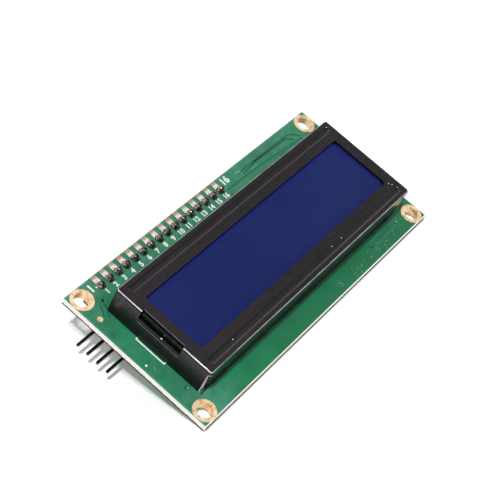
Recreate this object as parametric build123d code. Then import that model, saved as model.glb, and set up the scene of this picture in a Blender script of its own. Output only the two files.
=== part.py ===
from build123d import *
import os

# A 16 by 2 character display module with a serial adapter board soldered to its back.
# Frame, in millimetres: the origin is the centre of the four mounting holes on the front face
# of the main board. +X runs from the plug end to the far end, +Y points to the edge with the
# pin row, and +Z points out of the display. The adapter hangs below the board, parts down.

# Main board
BOARD_LENGTH = 80.0
BOARD_WIDTH = 36.0
BOARD_THICKNESS = 1.6
HOLE_INSET = 2.5
HOLE_DIAMETER = 3.2
RING_DIAMETER = 4.9
PLATING = 0.05
FIDUCIAL_DIAMETER = 1.2
FIDUCIAL_INSET_X = 2.0
FIDUCIAL_INSET_Y = 7.6

# Pin row that joins the two boards
PIN_COUNT = 16
PIN_PITCH = 2.54
PIN_SIZE = 0.64
PIN_CHAMFER = 0.14
PIN_TIP_HEIGHT = 1.25
PIN_TAIL_DROP = 1.7
FIRST_PIN_INSET = 8.0
PIN_ROW_INSET = 2.5
PIN_HOLE_PLAY = 0.1
PIN_HOLE_SIDES = 8
PAD_WIDTH = 1.9
PAD_INNER_REACH = 0.95
STRIP_HEIGHT = 2.54
STRIP_WIDTH = 2.5
STRIP_NOTCH = 0.35
SOLDER_RADIUS = 0.86
SOLDER_HEIGHT = 0.9
SOLDER_SLOPE = 20.0
SOLDER_SIDES = 8

# Folded bezel
BEZEL_END_MARGIN = 4.6
BEZEL_NEAR_MARGIN = 5.35
BEZEL_FAR_MARGIN = 6.9
BEZEL_HEIGHT = 7.0
SHEET = 0.4
INNER_BEND = 0.1
CORNER_BEVEL = 0.4
WINDOW_END_MARGIN = 2.9
WINDOW_SIDE_MARGIN = 4.8
WINDOW_CORNER = 0.7
BEAD_WIDTH = 1.6
BEAD_DEPTH = 0.35
BEAD_SLOPE = 55.0
BEAD_INSET = 1.9
BEAD_END_INSET = 1.3
NOTCH_WIDTH = 10.3
NOTCH_DEPTH = 2.5
NOTCH_REACH = 0.8
NOTCH_SHIFT = 0.35
RELIEF_TOP = 0.1
RELIEF_FOOT = 1.3
RELIEF_BELOW_TOP = 1.2

# Lugs that hold the bezel to the board
LUG_END_INSET = 5.9
LUG_WIDTH = 4.0
MIDDLE_LUG_WIDTH = 6.2
KEY_LUG_INSET = 19.9
KEY_LUG_WIDTH = 1.4
LUG_DROP = 1.3
LUG_TWIST = 28.0
LUG_TWIST_STEPS = 3
SLOT_END_PLAY = 0.5
SLOT_OUTER_PLAY = 0.35
SLOT_INNER_PLAY = 0.15
SLOT_CORNER = 0.25

# Backlight and glass, from the board upwards
FIT = 0.1
HOUSING_FLOOR = 0.7
REFLECTOR_THICKNESS = 0.2
GUIDE_BEVEL = 0.85
FILM_THICKNESS = 0.2
GLASS_THICKNESS = 1.1
GLASS_CLEARANCE = 0.3
GLASS_END_GAP = 0.3
END_WALL = 0.9
SIDE_WALL = 0.55
STRIP_SLOT_WIDTH = 1.6
ELASTOMER_INSET = 3.8
GUIDE_WALL = 0.6
POLARISER_INSET = 0.6
LIGHT_BAR_THICKNESS = 0.6
LIGHT_BAR_INSET = 1.5
DIODE_COUNT = 3
DIODE_PITCH = 4.0
DIODE_WIDTH = 3.0
DIODE_DEPTH = 1.2
DIODE_INSET = 0.4
LEAD_SIZE = 0.5

# Parts on the back of the main board
CONTROLLER_PLACE = (-12.0, -4.5)
SEGMENT_DRIVER_PLACE = (15.0, -3.0)
BLOB_RADIUS = 6.0
BLOB_TOP_RADIUS = 3.6
BLOB_HEIGHT = 1.3
RESISTOR_TO_LIGHT_BAR = 4.5
BOARD_RESISTOR_PITCH = 2.6
BOARD_RESISTOR_COUNT = 5
CHIP_PART_LENGTH = 2.0
CHIP_PART_WIDTH = 1.25
CHIP_PART_HEIGHT = 0.55
CHIP_PART_END = 0.4

# Adapter board
ADAPTER_END_MARGIN = 1.7
ADAPTER_WIDTH = 19.0
ADAPTER_THICKNESS = 1.6
ADAPTER_EDGE_TO_ROW = 1.3
EXPANDER_LENGTH = 10.3
EXPANDER_WIDTH = 7.5
EXPANDER_HEIGHT = 2.3
EXPANDER_OFFSET_X = -4.0
EXPANDER_INSET = 8.2
EXPANDER_DRAFT = 0.16
DIMPLE_INSET = 1.4
DIMPLE_DIAMETER = 1.0
DIMPLE_DEPTH = 0.15
LEAD_PITCH = 1.27
LEAD_COUNT = 8
LEAD_WIDTH = 0.42
LEAD_THICKNESS = 0.25
LEAD_SPAN = 10.3
LEAD_FOOT = 0.85
TRIMMER_SIZE = 6.6
TRIMMER_HEIGHT = 4.9
TRIMMER_PLACE = (9.9, 8.2)
TRIMMER_EDGE = 0.4
ROTOR_DIAMETER = 4.4
ROTOR_DEPTH = 1.3
ROTOR_SINK = 0.2
ROTOR_CLEARANCE = 0.1
SPINDLE_DIAMETER = 1.6
SPINDLE_LENGTH = 1.5
CROSS_WIDTH = 0.65
CROSS_LENGTH = 3.3
CROSS_DEPTH = 0.6
TRIMMER_LEG_SIZE = 0.5
TRIMMER_LEG_SPREAD = 2.54

# Right-angle plug and jumper
PLUG_COUNT = 4
JUMPER_COUNT = 2
PLUG_HOLE_INSET = 2.5
BLOCK_SETBACK = 1.5
BLOCK_SIZE = 2.54
PLUG_REACH = 6.0
LEG_PROUD = 0.8
LEG_BEND = 0.45
CAP_WIDTH = 5.0
CAP_HEIGHT = 2.4
CAP_WALL = 0.4
CAP_END_WALL = 0.8
CAP_STANDOFF = 0.1
CLIP_THICKNESS = 0.2
CLIP_CLEARANCE = 0.07
CLIP_LENGTH = 4.4
CLIP_LEAF_HEIGHT = 0.9
CAP_TEST_SLOT = 2.4
CAP_TEST_SLOT_HEIGHT = 0.8
CAP_GROOVE_COUNT = 3
CAP_GROOVE_PITCH = 0.8
CAP_GROOVE_WIDTH = 0.4
CAP_GROOVE_DEPTH = 0.1

# Small parts on the adapter, placed by distance from its middle and from the pin row
TRANSISTOR_LENGTH = 2.9
TRANSISTOR_WIDTH = 1.3
TRANSISTOR_HEIGHT = 1.0
TRANSISTOR_SPAN = 2.5
CAPACITOR_HEIGHT = 0.9
POWER_LAMP_HEIGHT = 0.75
RESISTOR_PLACES = [(-13.6, 4.8), (-13.6, 7.3), (15.4, 2.6)]
CAPACITOR_PLACES = [(3.9, 2.8), (-13.6, 13.1)]
POWER_LAMP_PLACES = [(11.6, 2.6)]
TRANSISTOR_OFFSET_X = 16.7
TRANSISTOR_INSET = 3.6
TRANSISTOR_LEG_SPREAD = 0.95
ADDRESS_PAD_COUNT = 3
ADDRESS_PAD_PITCH = 2.2
ADDRESS_PAD_SIZE = 1.1
ADDRESS_PAD_GAP = 0.5
ADDRESS_PAD_INSET = 1.6

# Worked out from the sizes above: both boards
BOARD_BACK = -BOARD_THICKNESS
ADAPTER_TOP = BOARD_BACK - STRIP_HEIGHT
ADAPTER_FACE = ADAPTER_TOP - ADAPTER_THICKNESS
PLUG_LEVEL = ADAPTER_FACE - BLOCK_SIZE / 2
FIRST_PIN_X = FIRST_PIN_INSET - BOARD_LENGTH / 2
PIN_ROW_Y = BOARD_WIDTH / 2 - PIN_ROW_INSET
PIN_XS = [FIRST_PIN_X + PIN_PITCH * i for i in range(PIN_COUNT)]
PIN_SPAN = PIN_PITCH * (PIN_COUNT - 1)
PIN_HOLE_DIAMETER = PIN_SIZE * 2 ** 0.5 + PIN_HOLE_PLAY
LEAD_HOLE_DIAMETER = LEAD_SIZE * 2 ** 0.5 + PIN_HOLE_PLAY
ADAPTER_LENGTH = PIN_SPAN + 2 * ADAPTER_END_MARGIN
ADAPTER_X = FIRST_PIN_X + PIN_SPAN / 2
ADAPTER_Y = PIN_ROW_Y + ADAPTER_EDGE_TO_ROW - ADAPTER_WIDTH / 2
ADAPTER_INNER_Y = ADAPTER_Y - ADAPTER_WIDTH / 2
EXPANDER_X = ADAPTER_X + EXPANDER_OFFSET_X
EXPANDER_Y = ADAPTER_INNER_Y + EXPANDER_INSET

# Worked out: bezel
BEZEL_LENGTH = BOARD_LENGTH - 2 * BEZEL_END_MARGIN
BEZEL_WIDTH = BOARD_WIDTH - BEZEL_NEAR_MARGIN - BEZEL_FAR_MARGIN
BEZEL_CENTRE_Y = (BEZEL_NEAR_MARGIN - BEZEL_FAR_MARGIN) / 2
NEAR_WALL_Y = BEZEL_CENTRE_Y - BEZEL_WIDTH / 2
FAR_WALL_Y = BEZEL_CENTRE_Y + BEZEL_WIDTH / 2
NOTCH_Y = BEZEL_CENTRE_Y + NOTCH_SHIFT
NOTCH_FOOT = BEZEL_HEIGHT - NOTCH_DEPTH
RELIEF_HEIGHT = BEZEL_HEIGHT - RELIEF_BELOW_TOP
INNER_LENGTH = BEZEL_LENGTH - 2 * SHEET
INNER_WIDTH = BEZEL_WIDTH - 2 * SHEET

# Worked out: the stack under the bezel, downwards and then from the middle outwards
FRONT_GLASS_TOP = BEZEL_HEIGHT - SHEET - GLASS_CLEARANCE - FILM_THICKNESS
REAR_GLASS_TOP = FRONT_GLASS_TOP - GLASS_THICKNESS
REAR_POLARISER_TOP = REAR_GLASS_TOP - GLASS_THICKNESS
DIFFUSER_TOP = REAR_POLARISER_TOP - FILM_THICKNESS
GUIDE_TOP = DIFFUSER_TOP - FILM_THICKNESS
REFLECTOR_TOP = HOUSING_FLOOR + REFLECTOR_THICKNESS
HOUSING_LENGTH = INNER_LENGTH - 2 * FIT
HOUSING_WIDTH = INNER_WIDTH - 2 * FIT
GLASS_LENGTH = INNER_LENGTH - 2 * GLASS_END_GAP
FRONT_GLASS_WIDTH = INNER_WIDTH - 4 * FIT
SLOT_OUTER_Y = HOUSING_WIDTH / 2 - SIDE_WALL
SLOT_INNER_Y = SLOT_OUTER_Y - STRIP_SLOT_WIDTH
REAR_GLASS_WIDTH = 2 * (SLOT_INNER_Y - FIT)
ELASTOMER_LENGTH = HOUSING_LENGTH - 2 * ELASTOMER_INSET
POCKET_WIDTH = 2 * (SLOT_INNER_Y - GUIDE_WALL)
POCKET_LENGTH = HOUSING_LENGTH - 2 * END_WALL - 2 * GUIDE_WALL
LIGHT_BAR_X = POCKET_LENGTH / 2 - FIT - LIGHT_BAR_THICKNESS / 2
LIGHT_BAR_WIDTH = POCKET_WIDTH - 2 * LIGHT_BAR_INSET
DIODE_FACE_X = LIGHT_BAR_X - LIGHT_BAR_THICKNESS / 2 - DIODE_DEPTH
LEAD_YS = [BEZEL_CENTRE_Y - PIN_PITCH / 2, BEZEL_CENTRE_Y + PIN_PITCH / 2]

CAP_POCKET = PLUG_REACH - CAP_STANDOFF + 2 * FIT
CAP_LENGTH = CAP_POCKET + CAP_END_WALL


def block(x, y, length, width, low, high):
    """A block centred on (x, y) between two levels."""
    return Pos(x, y, (low + high) / 2) * Box(length, width, high - low)


def rod(x, y, diameter, low, high):
    """An upright round rod between two levels."""
    return Pos(x, y, (low + high) / 2) * Cylinder(diameter / 2, high - low)


def group(solids):
    """Like pieces that share one node."""
    return Compound([piece.solid() for piece in solids])


def upper_edges(solid):
    """The edges that bound a solid's highest face."""
    return solid.faces().sort_by(Axis.Z)[-1].edges()


def pin_hole(x, y, diameter, low, high):
    """A drilled hole for a square pin, in few flats so that the boards stay light."""
    return extrude(Pos(x, y, low) * RegularPolygon(diameter / 2, PIN_HOLE_SIDES), high - low)


def solder_joint(x, y, face, direction, pin):
    """An eight-sided cone of solder on one face of a board, round a square pin."""
    cone = extrude(RegularPolygon(SOLDER_RADIUS, SOLDER_SIDES), SOLDER_HEIGHT, taper=SOLDER_SLOPE)
    joint = cone - Box(pin, pin, 3 * SOLDER_HEIGHT)
    tilt = 0 if direction > 0 else 180
    return Pos(x, y, face) * Rot(tilt, 0, 0) * joint


def chip_part(x, y, face, height):
    """The body and the two soldered ends of a small surface part below a face."""
    low = face - height
    spread = (CHIP_PART_LENGTH - CHIP_PART_END) / 2
    body = block(x, y, CHIP_PART_LENGTH - 2 * CHIP_PART_END, CHIP_PART_WIDTH, low, face)
    ends = [block(x + s * spread, y, CHIP_PART_END, CHIP_PART_WIDTH, low, face) for s in (-1, 1)]
    return body, ends


def hole_places():
    """The centres of the four mounting holes."""
    x = BOARD_LENGTH / 2 - HOLE_INSET
    y = BOARD_WIDTH / 2 - HOLE_INSET
    return [(sx * x, sy * y) for sx in (-1, 1) for sy in (-1, 1)]


def lug_places():
    """Place and width of every bezel lug."""
    near = NEAR_WALL_Y + SHEET / 2
    far = FAR_WALL_Y - SHEET / 2
    end_x = BEZEL_LENGTH / 2 - LUG_END_INSET
    places = [(x, y, LUG_WIDTH) for y in (near, far) for x in (-end_x, end_x)]
    places += [(0, y, MIDDLE_LUG_WIDTH) for y in (near, far)]
    return places + [(KEY_LUG_INSET - BEZEL_LENGTH / 2, near, KEY_LUG_WIDTH)]


def lug_slot(x, y, width):
    """The board slot that one lug passes through, longer and wider than the lug."""
    side = 1 if y > BEZEL_CENTRE_Y else -1
    slot_width = SHEET + SLOT_OUTER_PLAY + SLOT_INNER_PLAY
    slot_y = y + side * (SLOT_OUTER_PLAY - SLOT_INNER_PLAY) / 2
    slot = block(x, slot_y, width + 2 * SLOT_END_PLAY, slot_width, BOARD_BACK, 0)
    return chamfer(slot.edges().filter_by(Axis.Z), SLOT_CORNER)


def main_board():
    """The green board with its mounting holes, lug slots and pin holes."""
    board = block(0, 0, BOARD_LENGTH, BOARD_WIDTH, BOARD_BACK, 0)
    cuts = [rod(x, y, HOLE_DIAMETER + 2 * PLATING, BOARD_BACK, 0) for x, y in hole_places()]
    cuts += [pin_hole(x, PIN_ROW_Y, PIN_HOLE_DIAMETER, BOARD_BACK, 0) for x in PIN_XS]
    cuts += [lug_slot(*place) for place in lug_places()]
    cuts += [pin_hole(LIGHT_BAR_X, y, LEAD_HOLE_DIAMETER, BOARD_BACK, 0) for y in LEAD_YS]
    return board - cuts


def corner_rings():
    """Plated rims that line the mounting holes and spread over both faces."""
    rings = []
    for x, y in hole_places():
        barrel = rod(x, y, HOLE_DIAMETER + 2 * PLATING, BOARD_BACK, 0)
        front = rod(x, y, RING_DIAMETER, 0, PLATING)
        back = rod(x, y, RING_DIAMETER, BOARD_BACK - PLATING, BOARD_BACK)
        bore = rod(x, y, HOLE_DIAMETER, BOARD_BACK - 2 * PLATING, 2 * PLATING)
        rings.append(barrel + front + back - bore)
    return group(rings)


def fiducial_pad():
    """The round aiming mark between the bezel and the board's end."""
    x = FIDUCIAL_INSET_X - BOARD_LENGTH / 2
    y = BOARD_WIDTH / 2 - FIDUCIAL_INSET_Y
    return rod(x, y, FIDUCIAL_DIAMETER, 0, PLATING)


def edge_pads():
    """Tinned pads of the pin row, from the board's edge to just past the pins."""
    outer = BOARD_WIDTH / 2 - PLATING
    inner = PIN_ROW_Y - PAD_INNER_REACH
    pads = []
    for x in PIN_XS:
        pad = block(x, (outer + inner) / 2, PAD_WIDTH, outer - inner, 0, PLATING)
        pads.append(pad - block(x, PIN_ROW_Y, PIN_SIZE, PIN_SIZE, 0, PLATING))
    return group(pads)


def link_pins():
    """Square pins through both boards, with chamfered tips at the front."""
    low = ADAPTER_FACE - PIN_TAIL_DROP
    pins = []
    for x in PIN_XS:
        pin = block(x, PIN_ROW_Y, PIN_SIZE, PIN_SIZE, low, PIN_TIP_HEIGHT)
        pins.append(chamfer(upper_edges(pin), PIN_CHAMFER))
    return group(pins)


def link_strip():
    """The plastic strip that spaces the boards, nicked between its pins."""
    length = PIN_PITCH * PIN_COUNT
    strip = block(ADAPTER_X, PIN_ROW_Y, length, STRIP_WIDTH, ADAPTER_TOP, BOARD_BACK)
    nick = Rot(0, 0, 45) * Box(STRIP_NOTCH * 2 ** 0.5, STRIP_NOTCH * 2 ** 0.5, STRIP_HEIGHT)
    middle = (ADAPTER_TOP + BOARD_BACK) / 2
    cuts = [block(x, PIN_ROW_Y, PIN_SIZE, PIN_SIZE, ADAPTER_TOP, BOARD_BACK) for x in PIN_XS]
    for i in range(1, PIN_COUNT):
        x = FIRST_PIN_X + PIN_PITCH * (i - 0.5)
        cuts += [Pos(x, PIN_ROW_Y + s * STRIP_WIDTH / 2, middle) * nick for s in (-1, 1)]
    return strip - cuts


def front_solder():
    """Solder cones round the link pins on the front pads."""
    return group([solder_joint(x, PIN_ROW_Y, PLATING, 1, PIN_SIZE) for x in PIN_XS])


def adapter_solder():
    """Solder cones round the link pins on the adapter's part side."""
    return group([solder_joint(x, PIN_ROW_Y, ADAPTER_FACE, -1, PIN_SIZE) for x in PIN_XS])


def bezel_shell():
    """The five-sided folded box, open below, with bevelled corners."""
    outer = block(0, BEZEL_CENTRE_Y, BEZEL_LENGTH, BEZEL_WIDTH, 0, BEZEL_HEIGHT)
    outer = chamfer(outer.edges().filter_by(Axis.Z), CORNER_BEVEL)
    inner = block(0, BEZEL_CENTRE_Y, INNER_LENGTH, INNER_WIDTH, 0, BEZEL_HEIGHT - SHEET)
    return fillet(upper_edges(outer), INNER_BEND + SHEET) - fillet(upper_edges(inner), INNER_BEND)


def bead(y, top, width):
    """One embossed line as a long six-sided trough with sloping walls, open at a level."""
    reach = BEZEL_LENGTH / 2 - BEAD_END_INSET
    half = width / 2
    points = [(-reach, 0), (half - reach, -half), (reach - half, -half)]
    points += [(-px, -py) for px, py in points]
    outline = make_face(Polyline(points, close=True))
    trough = extrude(outline, BEAD_DEPTH, taper=BEAD_SLOPE)
    return Pos(0, y, top) * Rot(180, 0, 0) * trough


def end_notch():
    """The opening in the end wall over the plug and in its fold."""
    x = -BEZEL_LENGTH / 2
    return block(x, NOTCH_Y, 2 * NOTCH_REACH, NOTCH_WIDTH, NOTCH_FOOT, 2 * BEZEL_HEIGHT)


def corner_relief(side_x, side_y):
    """The tapering slit in a long wall, beside the end wall that folds down next to it."""
    end = BEZEL_LENGTH / 2 - SHEET
    points = [
        (side_x * end, 0),
        (side_x * (end - RELIEF_FOOT), 0),
        (side_x * (end - RELIEF_TOP), RELIEF_HEIGHT),
        (side_x * end, RELIEF_HEIGHT),
    ]
    face = make_face(Polyline(points, close=True))
    wall_y = BEZEL_CENTRE_Y + side_y * (BEZEL_WIDTH - SHEET) / 2
    return Pos(0, wall_y, 0) * extrude(Plane.XZ * face, SHEET, both=True)


def near_corner_gap(side_x):
    """The strip cut off an end wall's near edge, which leaves a gap beside the long wall."""
    x = side_x * (BEZEL_LENGTH / 2 - SHEET / 2)
    return block(x, NEAR_WALL_Y, SHEET, 2 * SHEET, 0, RELIEF_HEIGHT)


def lug_section(x, y, width, step):
    """The four corners of a lug's tail, part of the way down its twist."""
    share = step / LUG_TWIST_STEPS
    middle = Vector(x, y, BOARD_BACK - FIT - share * LUG_DROP)
    corners = [(-width, -SHEET), (width, -SHEET), (width, SHEET), (-width, SHEET)]
    return [middle + Vector(cx / 2, cy / 2).rotate(Axis.Z, share * LUG_TWIST) for cx, cy in corners]


def lug(x, y, width):
    """A straight neck through the board and a tail twisted below it, in flat facets."""
    neck = block(x, y, width, SHEET, BOARD_BACK - FIT, SHEET)
    sections = [lug_section(x, y, width, step) for step in range(LUG_TWIST_STEPS + 1)]
    faces = [make_face(Polyline(section, close=True)) for section in (sections[0], sections[-1])]
    for upper, lower in zip(sections, sections[1:]):
        for i in range(4):
            j = (i + 1) % 4
            faces.append(make_face(Polyline([upper[i], upper[j], lower[j]], close=True)))
            faces.append(make_face(Polyline([upper[i], lower[j], lower[i]], close=True)))
    return neck + Solid(Shell([piece.face() for piece in faces]))


def bezel():
    """The folded steel frame that clamps the glass to the board."""
    window_length = BEZEL_LENGTH - 2 * WINDOW_END_MARGIN
    window_width = BEZEL_WIDTH - 2 * WINDOW_SIDE_MARGIN
    outline = RectangleRounded(window_length, window_width, WINDOW_CORNER)
    window = Pos(0, BEZEL_CENTRE_Y, BEZEL_HEIGHT - 2 * SHEET) * extrude(outline, 3 * SHEET)
    bead_ys = [NEAR_WALL_Y + BEAD_INSET, FAR_WALL_Y - BEAD_INSET]
    shell = bezel_shell() + [bead(y, BEZEL_HEIGHT - SHEET, BEAD_WIDTH + SHEET) for y in bead_ys]
    shell = shell - window - end_notch() - [bead(y, BEZEL_HEIGHT, BEAD_WIDTH) for y in bead_ys]
    for side in (-1, 1):
        shell = shell - near_corner_gap(side) - corner_relief(side, -1) - corner_relief(side, 1)
    return shell + [lug(*place) for place in lug_places()]


def film(length, width, low, thickness):
    """One flat layer of the display, centred under the window."""
    return block(0, BEZEL_CENTRE_Y, length, width, low, low + thickness)


def front_polariser():
    return film(
        GLASS_LENGTH - 2 * POLARISER_INSET,
        REAR_GLASS_WIDTH - 2 * POLARISER_INSET,
        FRONT_GLASS_TOP,
        FILM_THICKNESS,
    )


def front_glass():
    return film(GLASS_LENGTH, FRONT_GLASS_WIDTH, REAR_GLASS_TOP, GLASS_THICKNESS)


def rear_glass():
    return film(GLASS_LENGTH, REAR_GLASS_WIDTH, REAR_POLARISER_TOP, GLASS_THICKNESS)


def rear_polariser():
    return film(
        GLASS_LENGTH - 2 * POLARISER_INSET,
        POCKET_WIDTH - 2 * FIT,
        DIFFUSER_TOP,
        FILM_THICKNESS,
    )


def diffuser_sheet():
    return film(POCKET_LENGTH - 2 * FIT, POCKET_WIDTH - 2 * FIT, GUIDE_TOP, FILM_THICKNESS)


def reflector_sheet():
    """White film under the light guide, with room for the light bar's leads."""
    length = DIODE_FACE_X - FIT + POCKET_LENGTH / 2 - FIT
    centre_x = DIODE_FACE_X - FIT - length / 2
    return block(centre_x, BEZEL_CENTRE_Y, length, POCKET_WIDTH - 2 * FIT, HOUSING_FLOOR, REFLECTOR_TOP)


def light_guide():
    """Clear plate that spreads the light, with a bevelled edge away from the light bar."""
    length = DIODE_FACE_X - FIT + POCKET_LENGTH / 2 - FIT
    centre_x = DIODE_FACE_X - FIT - length / 2
    plate = block(centre_x, BEZEL_CENTRE_Y, length, POCKET_WIDTH - 2 * FIT, REFLECTOR_TOP, GUIDE_TOP)
    far_edge = plate.faces().sort_by(Axis.X)[0].edges().sort_by(Axis.Z)[0]
    return chamfer(far_edge, GUIDE_BEVEL)


def light_bar():
    """Small board that carries the diodes at the far end of the housing."""
    high = GUIDE_TOP - FIT
    return block(LIGHT_BAR_X, BEZEL_CENTRE_Y, LIGHT_BAR_THICKNESS, LIGHT_BAR_WIDTH, HOUSING_FLOOR, high)


def backlight_diodes():
    """Side-facing diodes, against the end of the light guide."""
    low = REFLECTOR_TOP + DIODE_INSET
    high = GUIDE_TOP - DIODE_INSET
    x = DIODE_FACE_X + DIODE_DEPTH / 2
    diodes = []
    for i in range(DIODE_COUNT):
        y = BEZEL_CENTRE_Y + DIODE_PITCH * (i - (DIODE_COUNT - 1) / 2)
        diodes.append(block(x, y, DIODE_DEPTH, DIODE_WIDTH, low, high))
    return group(diodes)


def backlight_leads():
    """Two square leads from the light bar through the board."""
    low = BOARD_BACK - SOLDER_HEIGHT - FIT
    return group([block(LIGHT_BAR_X, y, LEAD_SIZE, LEAD_SIZE, low, HOUSING_FLOOR) for y in LEAD_YS])


def backlight_solder():
    return group([solder_joint(LIGHT_BAR_X, y, BOARD_BACK, -1, LEAD_SIZE) for y in LEAD_YS])


def backlight_housing():
    """White moulded frame: light pocket, two contact-strip slots and raised side walls."""
    base = film(HOUSING_LENGTH, HOUSING_WIDTH, 0, DIFFUSER_TOP)
    wall_offset = HOUSING_WIDTH / 2 - SIDE_WALL / 2
    strip_offset = (SLOT_INNER_Y + SLOT_OUTER_Y) / 2
    strip_length = ELASTOMER_LENGTH + 2 * FIT
    pocket = film(POCKET_LENGTH, POCKET_WIDTH, HOUSING_FLOOR, BEZEL_HEIGHT)
    leads = [block(LIGHT_BAR_X, y, LEAD_SIZE, LEAD_SIZE, 0, HOUSING_FLOOR) for y in LEAD_YS]
    frame = base - pocket - leads
    for side in (-1, 1):
        wall_y = BEZEL_CENTRE_Y + side * wall_offset
        strip_y = BEZEL_CENTRE_Y + side * strip_offset
        frame = frame + block(0, wall_y, HOUSING_LENGTH, SIDE_WALL, 0, REAR_GLASS_TOP - FIT)
        frame = frame - block(0, strip_y, strip_length, STRIP_SLOT_WIDTH, 0, BEZEL_HEIGHT)
    return frame


def elastomer_strips():
    """Two striped rubber strips that carry the contacts from the board to the front glass."""
    y = (SLOT_INNER_Y + SLOT_OUTER_Y) / 2
    width = STRIP_SLOT_WIDTH - 2 * FIT
    return group([
        block(0, BEZEL_CENTRE_Y + s * y, ELASTOMER_LENGTH, width, 0, REAR_GLASS_TOP) for s in (-1, 1)
    ])


def blob(place):
    """A low mound of resin over a bare chip, on the back of the main board."""
    x, y = place
    return Pos(x, y, BOARD_BACK - BLOB_HEIGHT / 2) * Cone(BLOB_TOP_RADIUS, BLOB_RADIUS, BLOB_HEIGHT)


def board_resistors():
    """A column of small resistors on the back of the main board, bodies then ends."""
    x = LIGHT_BAR_X - RESISTOR_TO_LIGHT_BAR
    bodies = []
    ends = []
    for i in range(BOARD_RESISTOR_COUNT):
        y = BEZEL_CENTRE_Y + BOARD_RESISTOR_PITCH * (i - (BOARD_RESISTOR_COUNT - 1) / 2)
        body, pair = chip_part(x, y, BOARD_BACK, CHIP_PART_HEIGHT)
        bodies.append(body)
        ends += pair
    return group(bodies), group(ends)


def adapter_point(dx, drop):
    """A place on the adapter, by distance along from its middle and inwards from the pin row."""
    return ADAPTER_X + dx, PIN_ROW_Y - drop


def plug_rows():
    """Hole places of the plug at one end and the jumper at the other, with their direction."""
    rows = []
    for count, side in ((PLUG_COUNT, -1), (JUMPER_COUNT, 1)):
        x = ADAPTER_X + side * (ADAPTER_LENGTH / 2 - PLUG_HOLE_INSET)
        ys = [ADAPTER_Y + PIN_PITCH * (i - (count - 1) / 2) for i in range(count)]
        rows.append((x, ys, side))
    return rows


def trimmer_leg_places():
    """The trimmer's three legs, in a triangle."""
    x, y = adapter_point(*TRIMMER_PLACE)
    spread = TRIMMER_LEG_SPREAD
    return [(x - spread, y - spread / 2), (x + spread, y - spread / 2), (x, y + spread / 2)]


def adapter_board():
    """The smaller board, drilled for the link pins, both right-angle headers and the trimmer."""
    board = block(ADAPTER_X, ADAPTER_Y, ADAPTER_LENGTH, ADAPTER_WIDTH, ADAPTER_FACE, ADAPTER_TOP)
    pin_places = [(x, PIN_ROW_Y) for x in PIN_XS]
    for x, ys, side in plug_rows():
        pin_places += [(x, y) for y in ys]
    cuts = [pin_hole(x, y, PIN_HOLE_DIAMETER, ADAPTER_FACE, ADAPTER_TOP) for x, y in pin_places]
    cuts += [pin_hole(x, y, LEAD_HOLE_DIAMETER, ADAPTER_FACE, ADAPTER_TOP) for x, y in trimmer_leg_places()]
    return board - cuts


def expander_body():
    """Moulded chip body with drafted sides and a pin-one dimple."""
    low = ADAPTER_FACE - EXPANDER_HEIGHT
    high = ADAPTER_FACE - LEAD_THICKNESS / 2
    place = Pos(EXPANDER_X, EXPANDER_Y, 0)
    belt = place * Pos(0, 0, (low + high) / 2) * Rectangle(EXPANDER_LENGTH, EXPANDER_WIDTH)
    inner = Rectangle(EXPANDER_LENGTH - 2 * EXPANDER_DRAFT, EXPANDER_WIDTH - 2 * EXPANDER_DRAFT)
    body = loft([place * Pos(0, 0, low) * inner, belt], ruled=True)
    body += loft([belt, place * Pos(0, 0, high) * inner], ruled=True)
    dimple_x = EXPANDER_X - EXPANDER_LENGTH / 2 + DIMPLE_INSET
    dimple_y = EXPANDER_Y - EXPANDER_WIDTH / 2 + DIMPLE_INSET
    return body - rod(dimple_x, dimple_y, DIMPLE_DIAMETER, low, low + DIMPLE_DEPTH)


def expander_leads():
    """Gull-wing leads from the belt of the chip to the board."""
    half = LEAD_THICKNESS / 2
    belt = ADAPTER_FACE - (EXPANDER_HEIGHT + half) / 2
    root_y = EXPANDER_WIDTH / 2
    toe_y = LEAD_SPAN / 2
    heel_y = toe_y - LEAD_FOOT
    foot = ADAPTER_FACE - half
    line = Polyline([(root_y, belt), (heel_y - half, belt), (heel_y, foot), (toe_y, foot)])
    lead = extrude(Plane.YZ * trace(line, LEAD_THICKNESS), LEAD_WIDTH / 2, both=True)
    leads = []
    for i in range(LEAD_COUNT):
        place = Pos(EXPANDER_X + LEAD_PITCH * (i - (LEAD_COUNT - 1) / 2), EXPANDER_Y, 0)
        leads.append(place * lead)
        leads.append(place * Rot(0, 0, 180) * lead)
    return group(leads)


def trimmer_body():
    """Square trimmer housing with a round well for its rotor and a bore for the spindle."""
    x, y = adapter_point(*TRIMMER_PLACE)
    low = ADAPTER_FACE - TRIMMER_HEIGHT
    body = block(x, y, TRIMMER_SIZE, TRIMMER_SIZE, low, ADAPTER_FACE)
    body = chamfer(body.edges().filter_by(Axis.Z), TRIMMER_EDGE)
    well_depth = ROTOR_SINK + ROTOR_DEPTH + ROTOR_CLEARANCE
    well = rod(x, y, ROTOR_DIAMETER + 2 * ROTOR_CLEARANCE, low, low + well_depth)
    bore_top = low + well_depth + SPINDLE_LENGTH + ROTOR_CLEARANCE
    bore = rod(x, y, SPINDLE_DIAMETER + 2 * ROTOR_CLEARANCE, low, bore_top)
    return body - well - bore


def trimmer_rotor():
    """Cross-slotted disc on a short spindle."""
    x, y = adapter_point(*TRIMMER_PLACE)
    low = ADAPTER_FACE - TRIMMER_HEIGHT + ROTOR_SINK
    disc = rod(x, y, ROTOR_DIAMETER, low, low + ROTOR_DEPTH)
    spindle = rod(x, y, SPINDLE_DIAMETER, low + ROTOR_DEPTH, low + ROTOR_DEPTH + SPINDLE_LENGTH)
    slots = [
        block(x, y, CROSS_LENGTH, CROSS_WIDTH, low, low + CROSS_DEPTH),
        block(x, y, CROSS_WIDTH, CROSS_LENGTH, low, low + CROSS_DEPTH),
    ]
    return disc + spindle - slots


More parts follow.
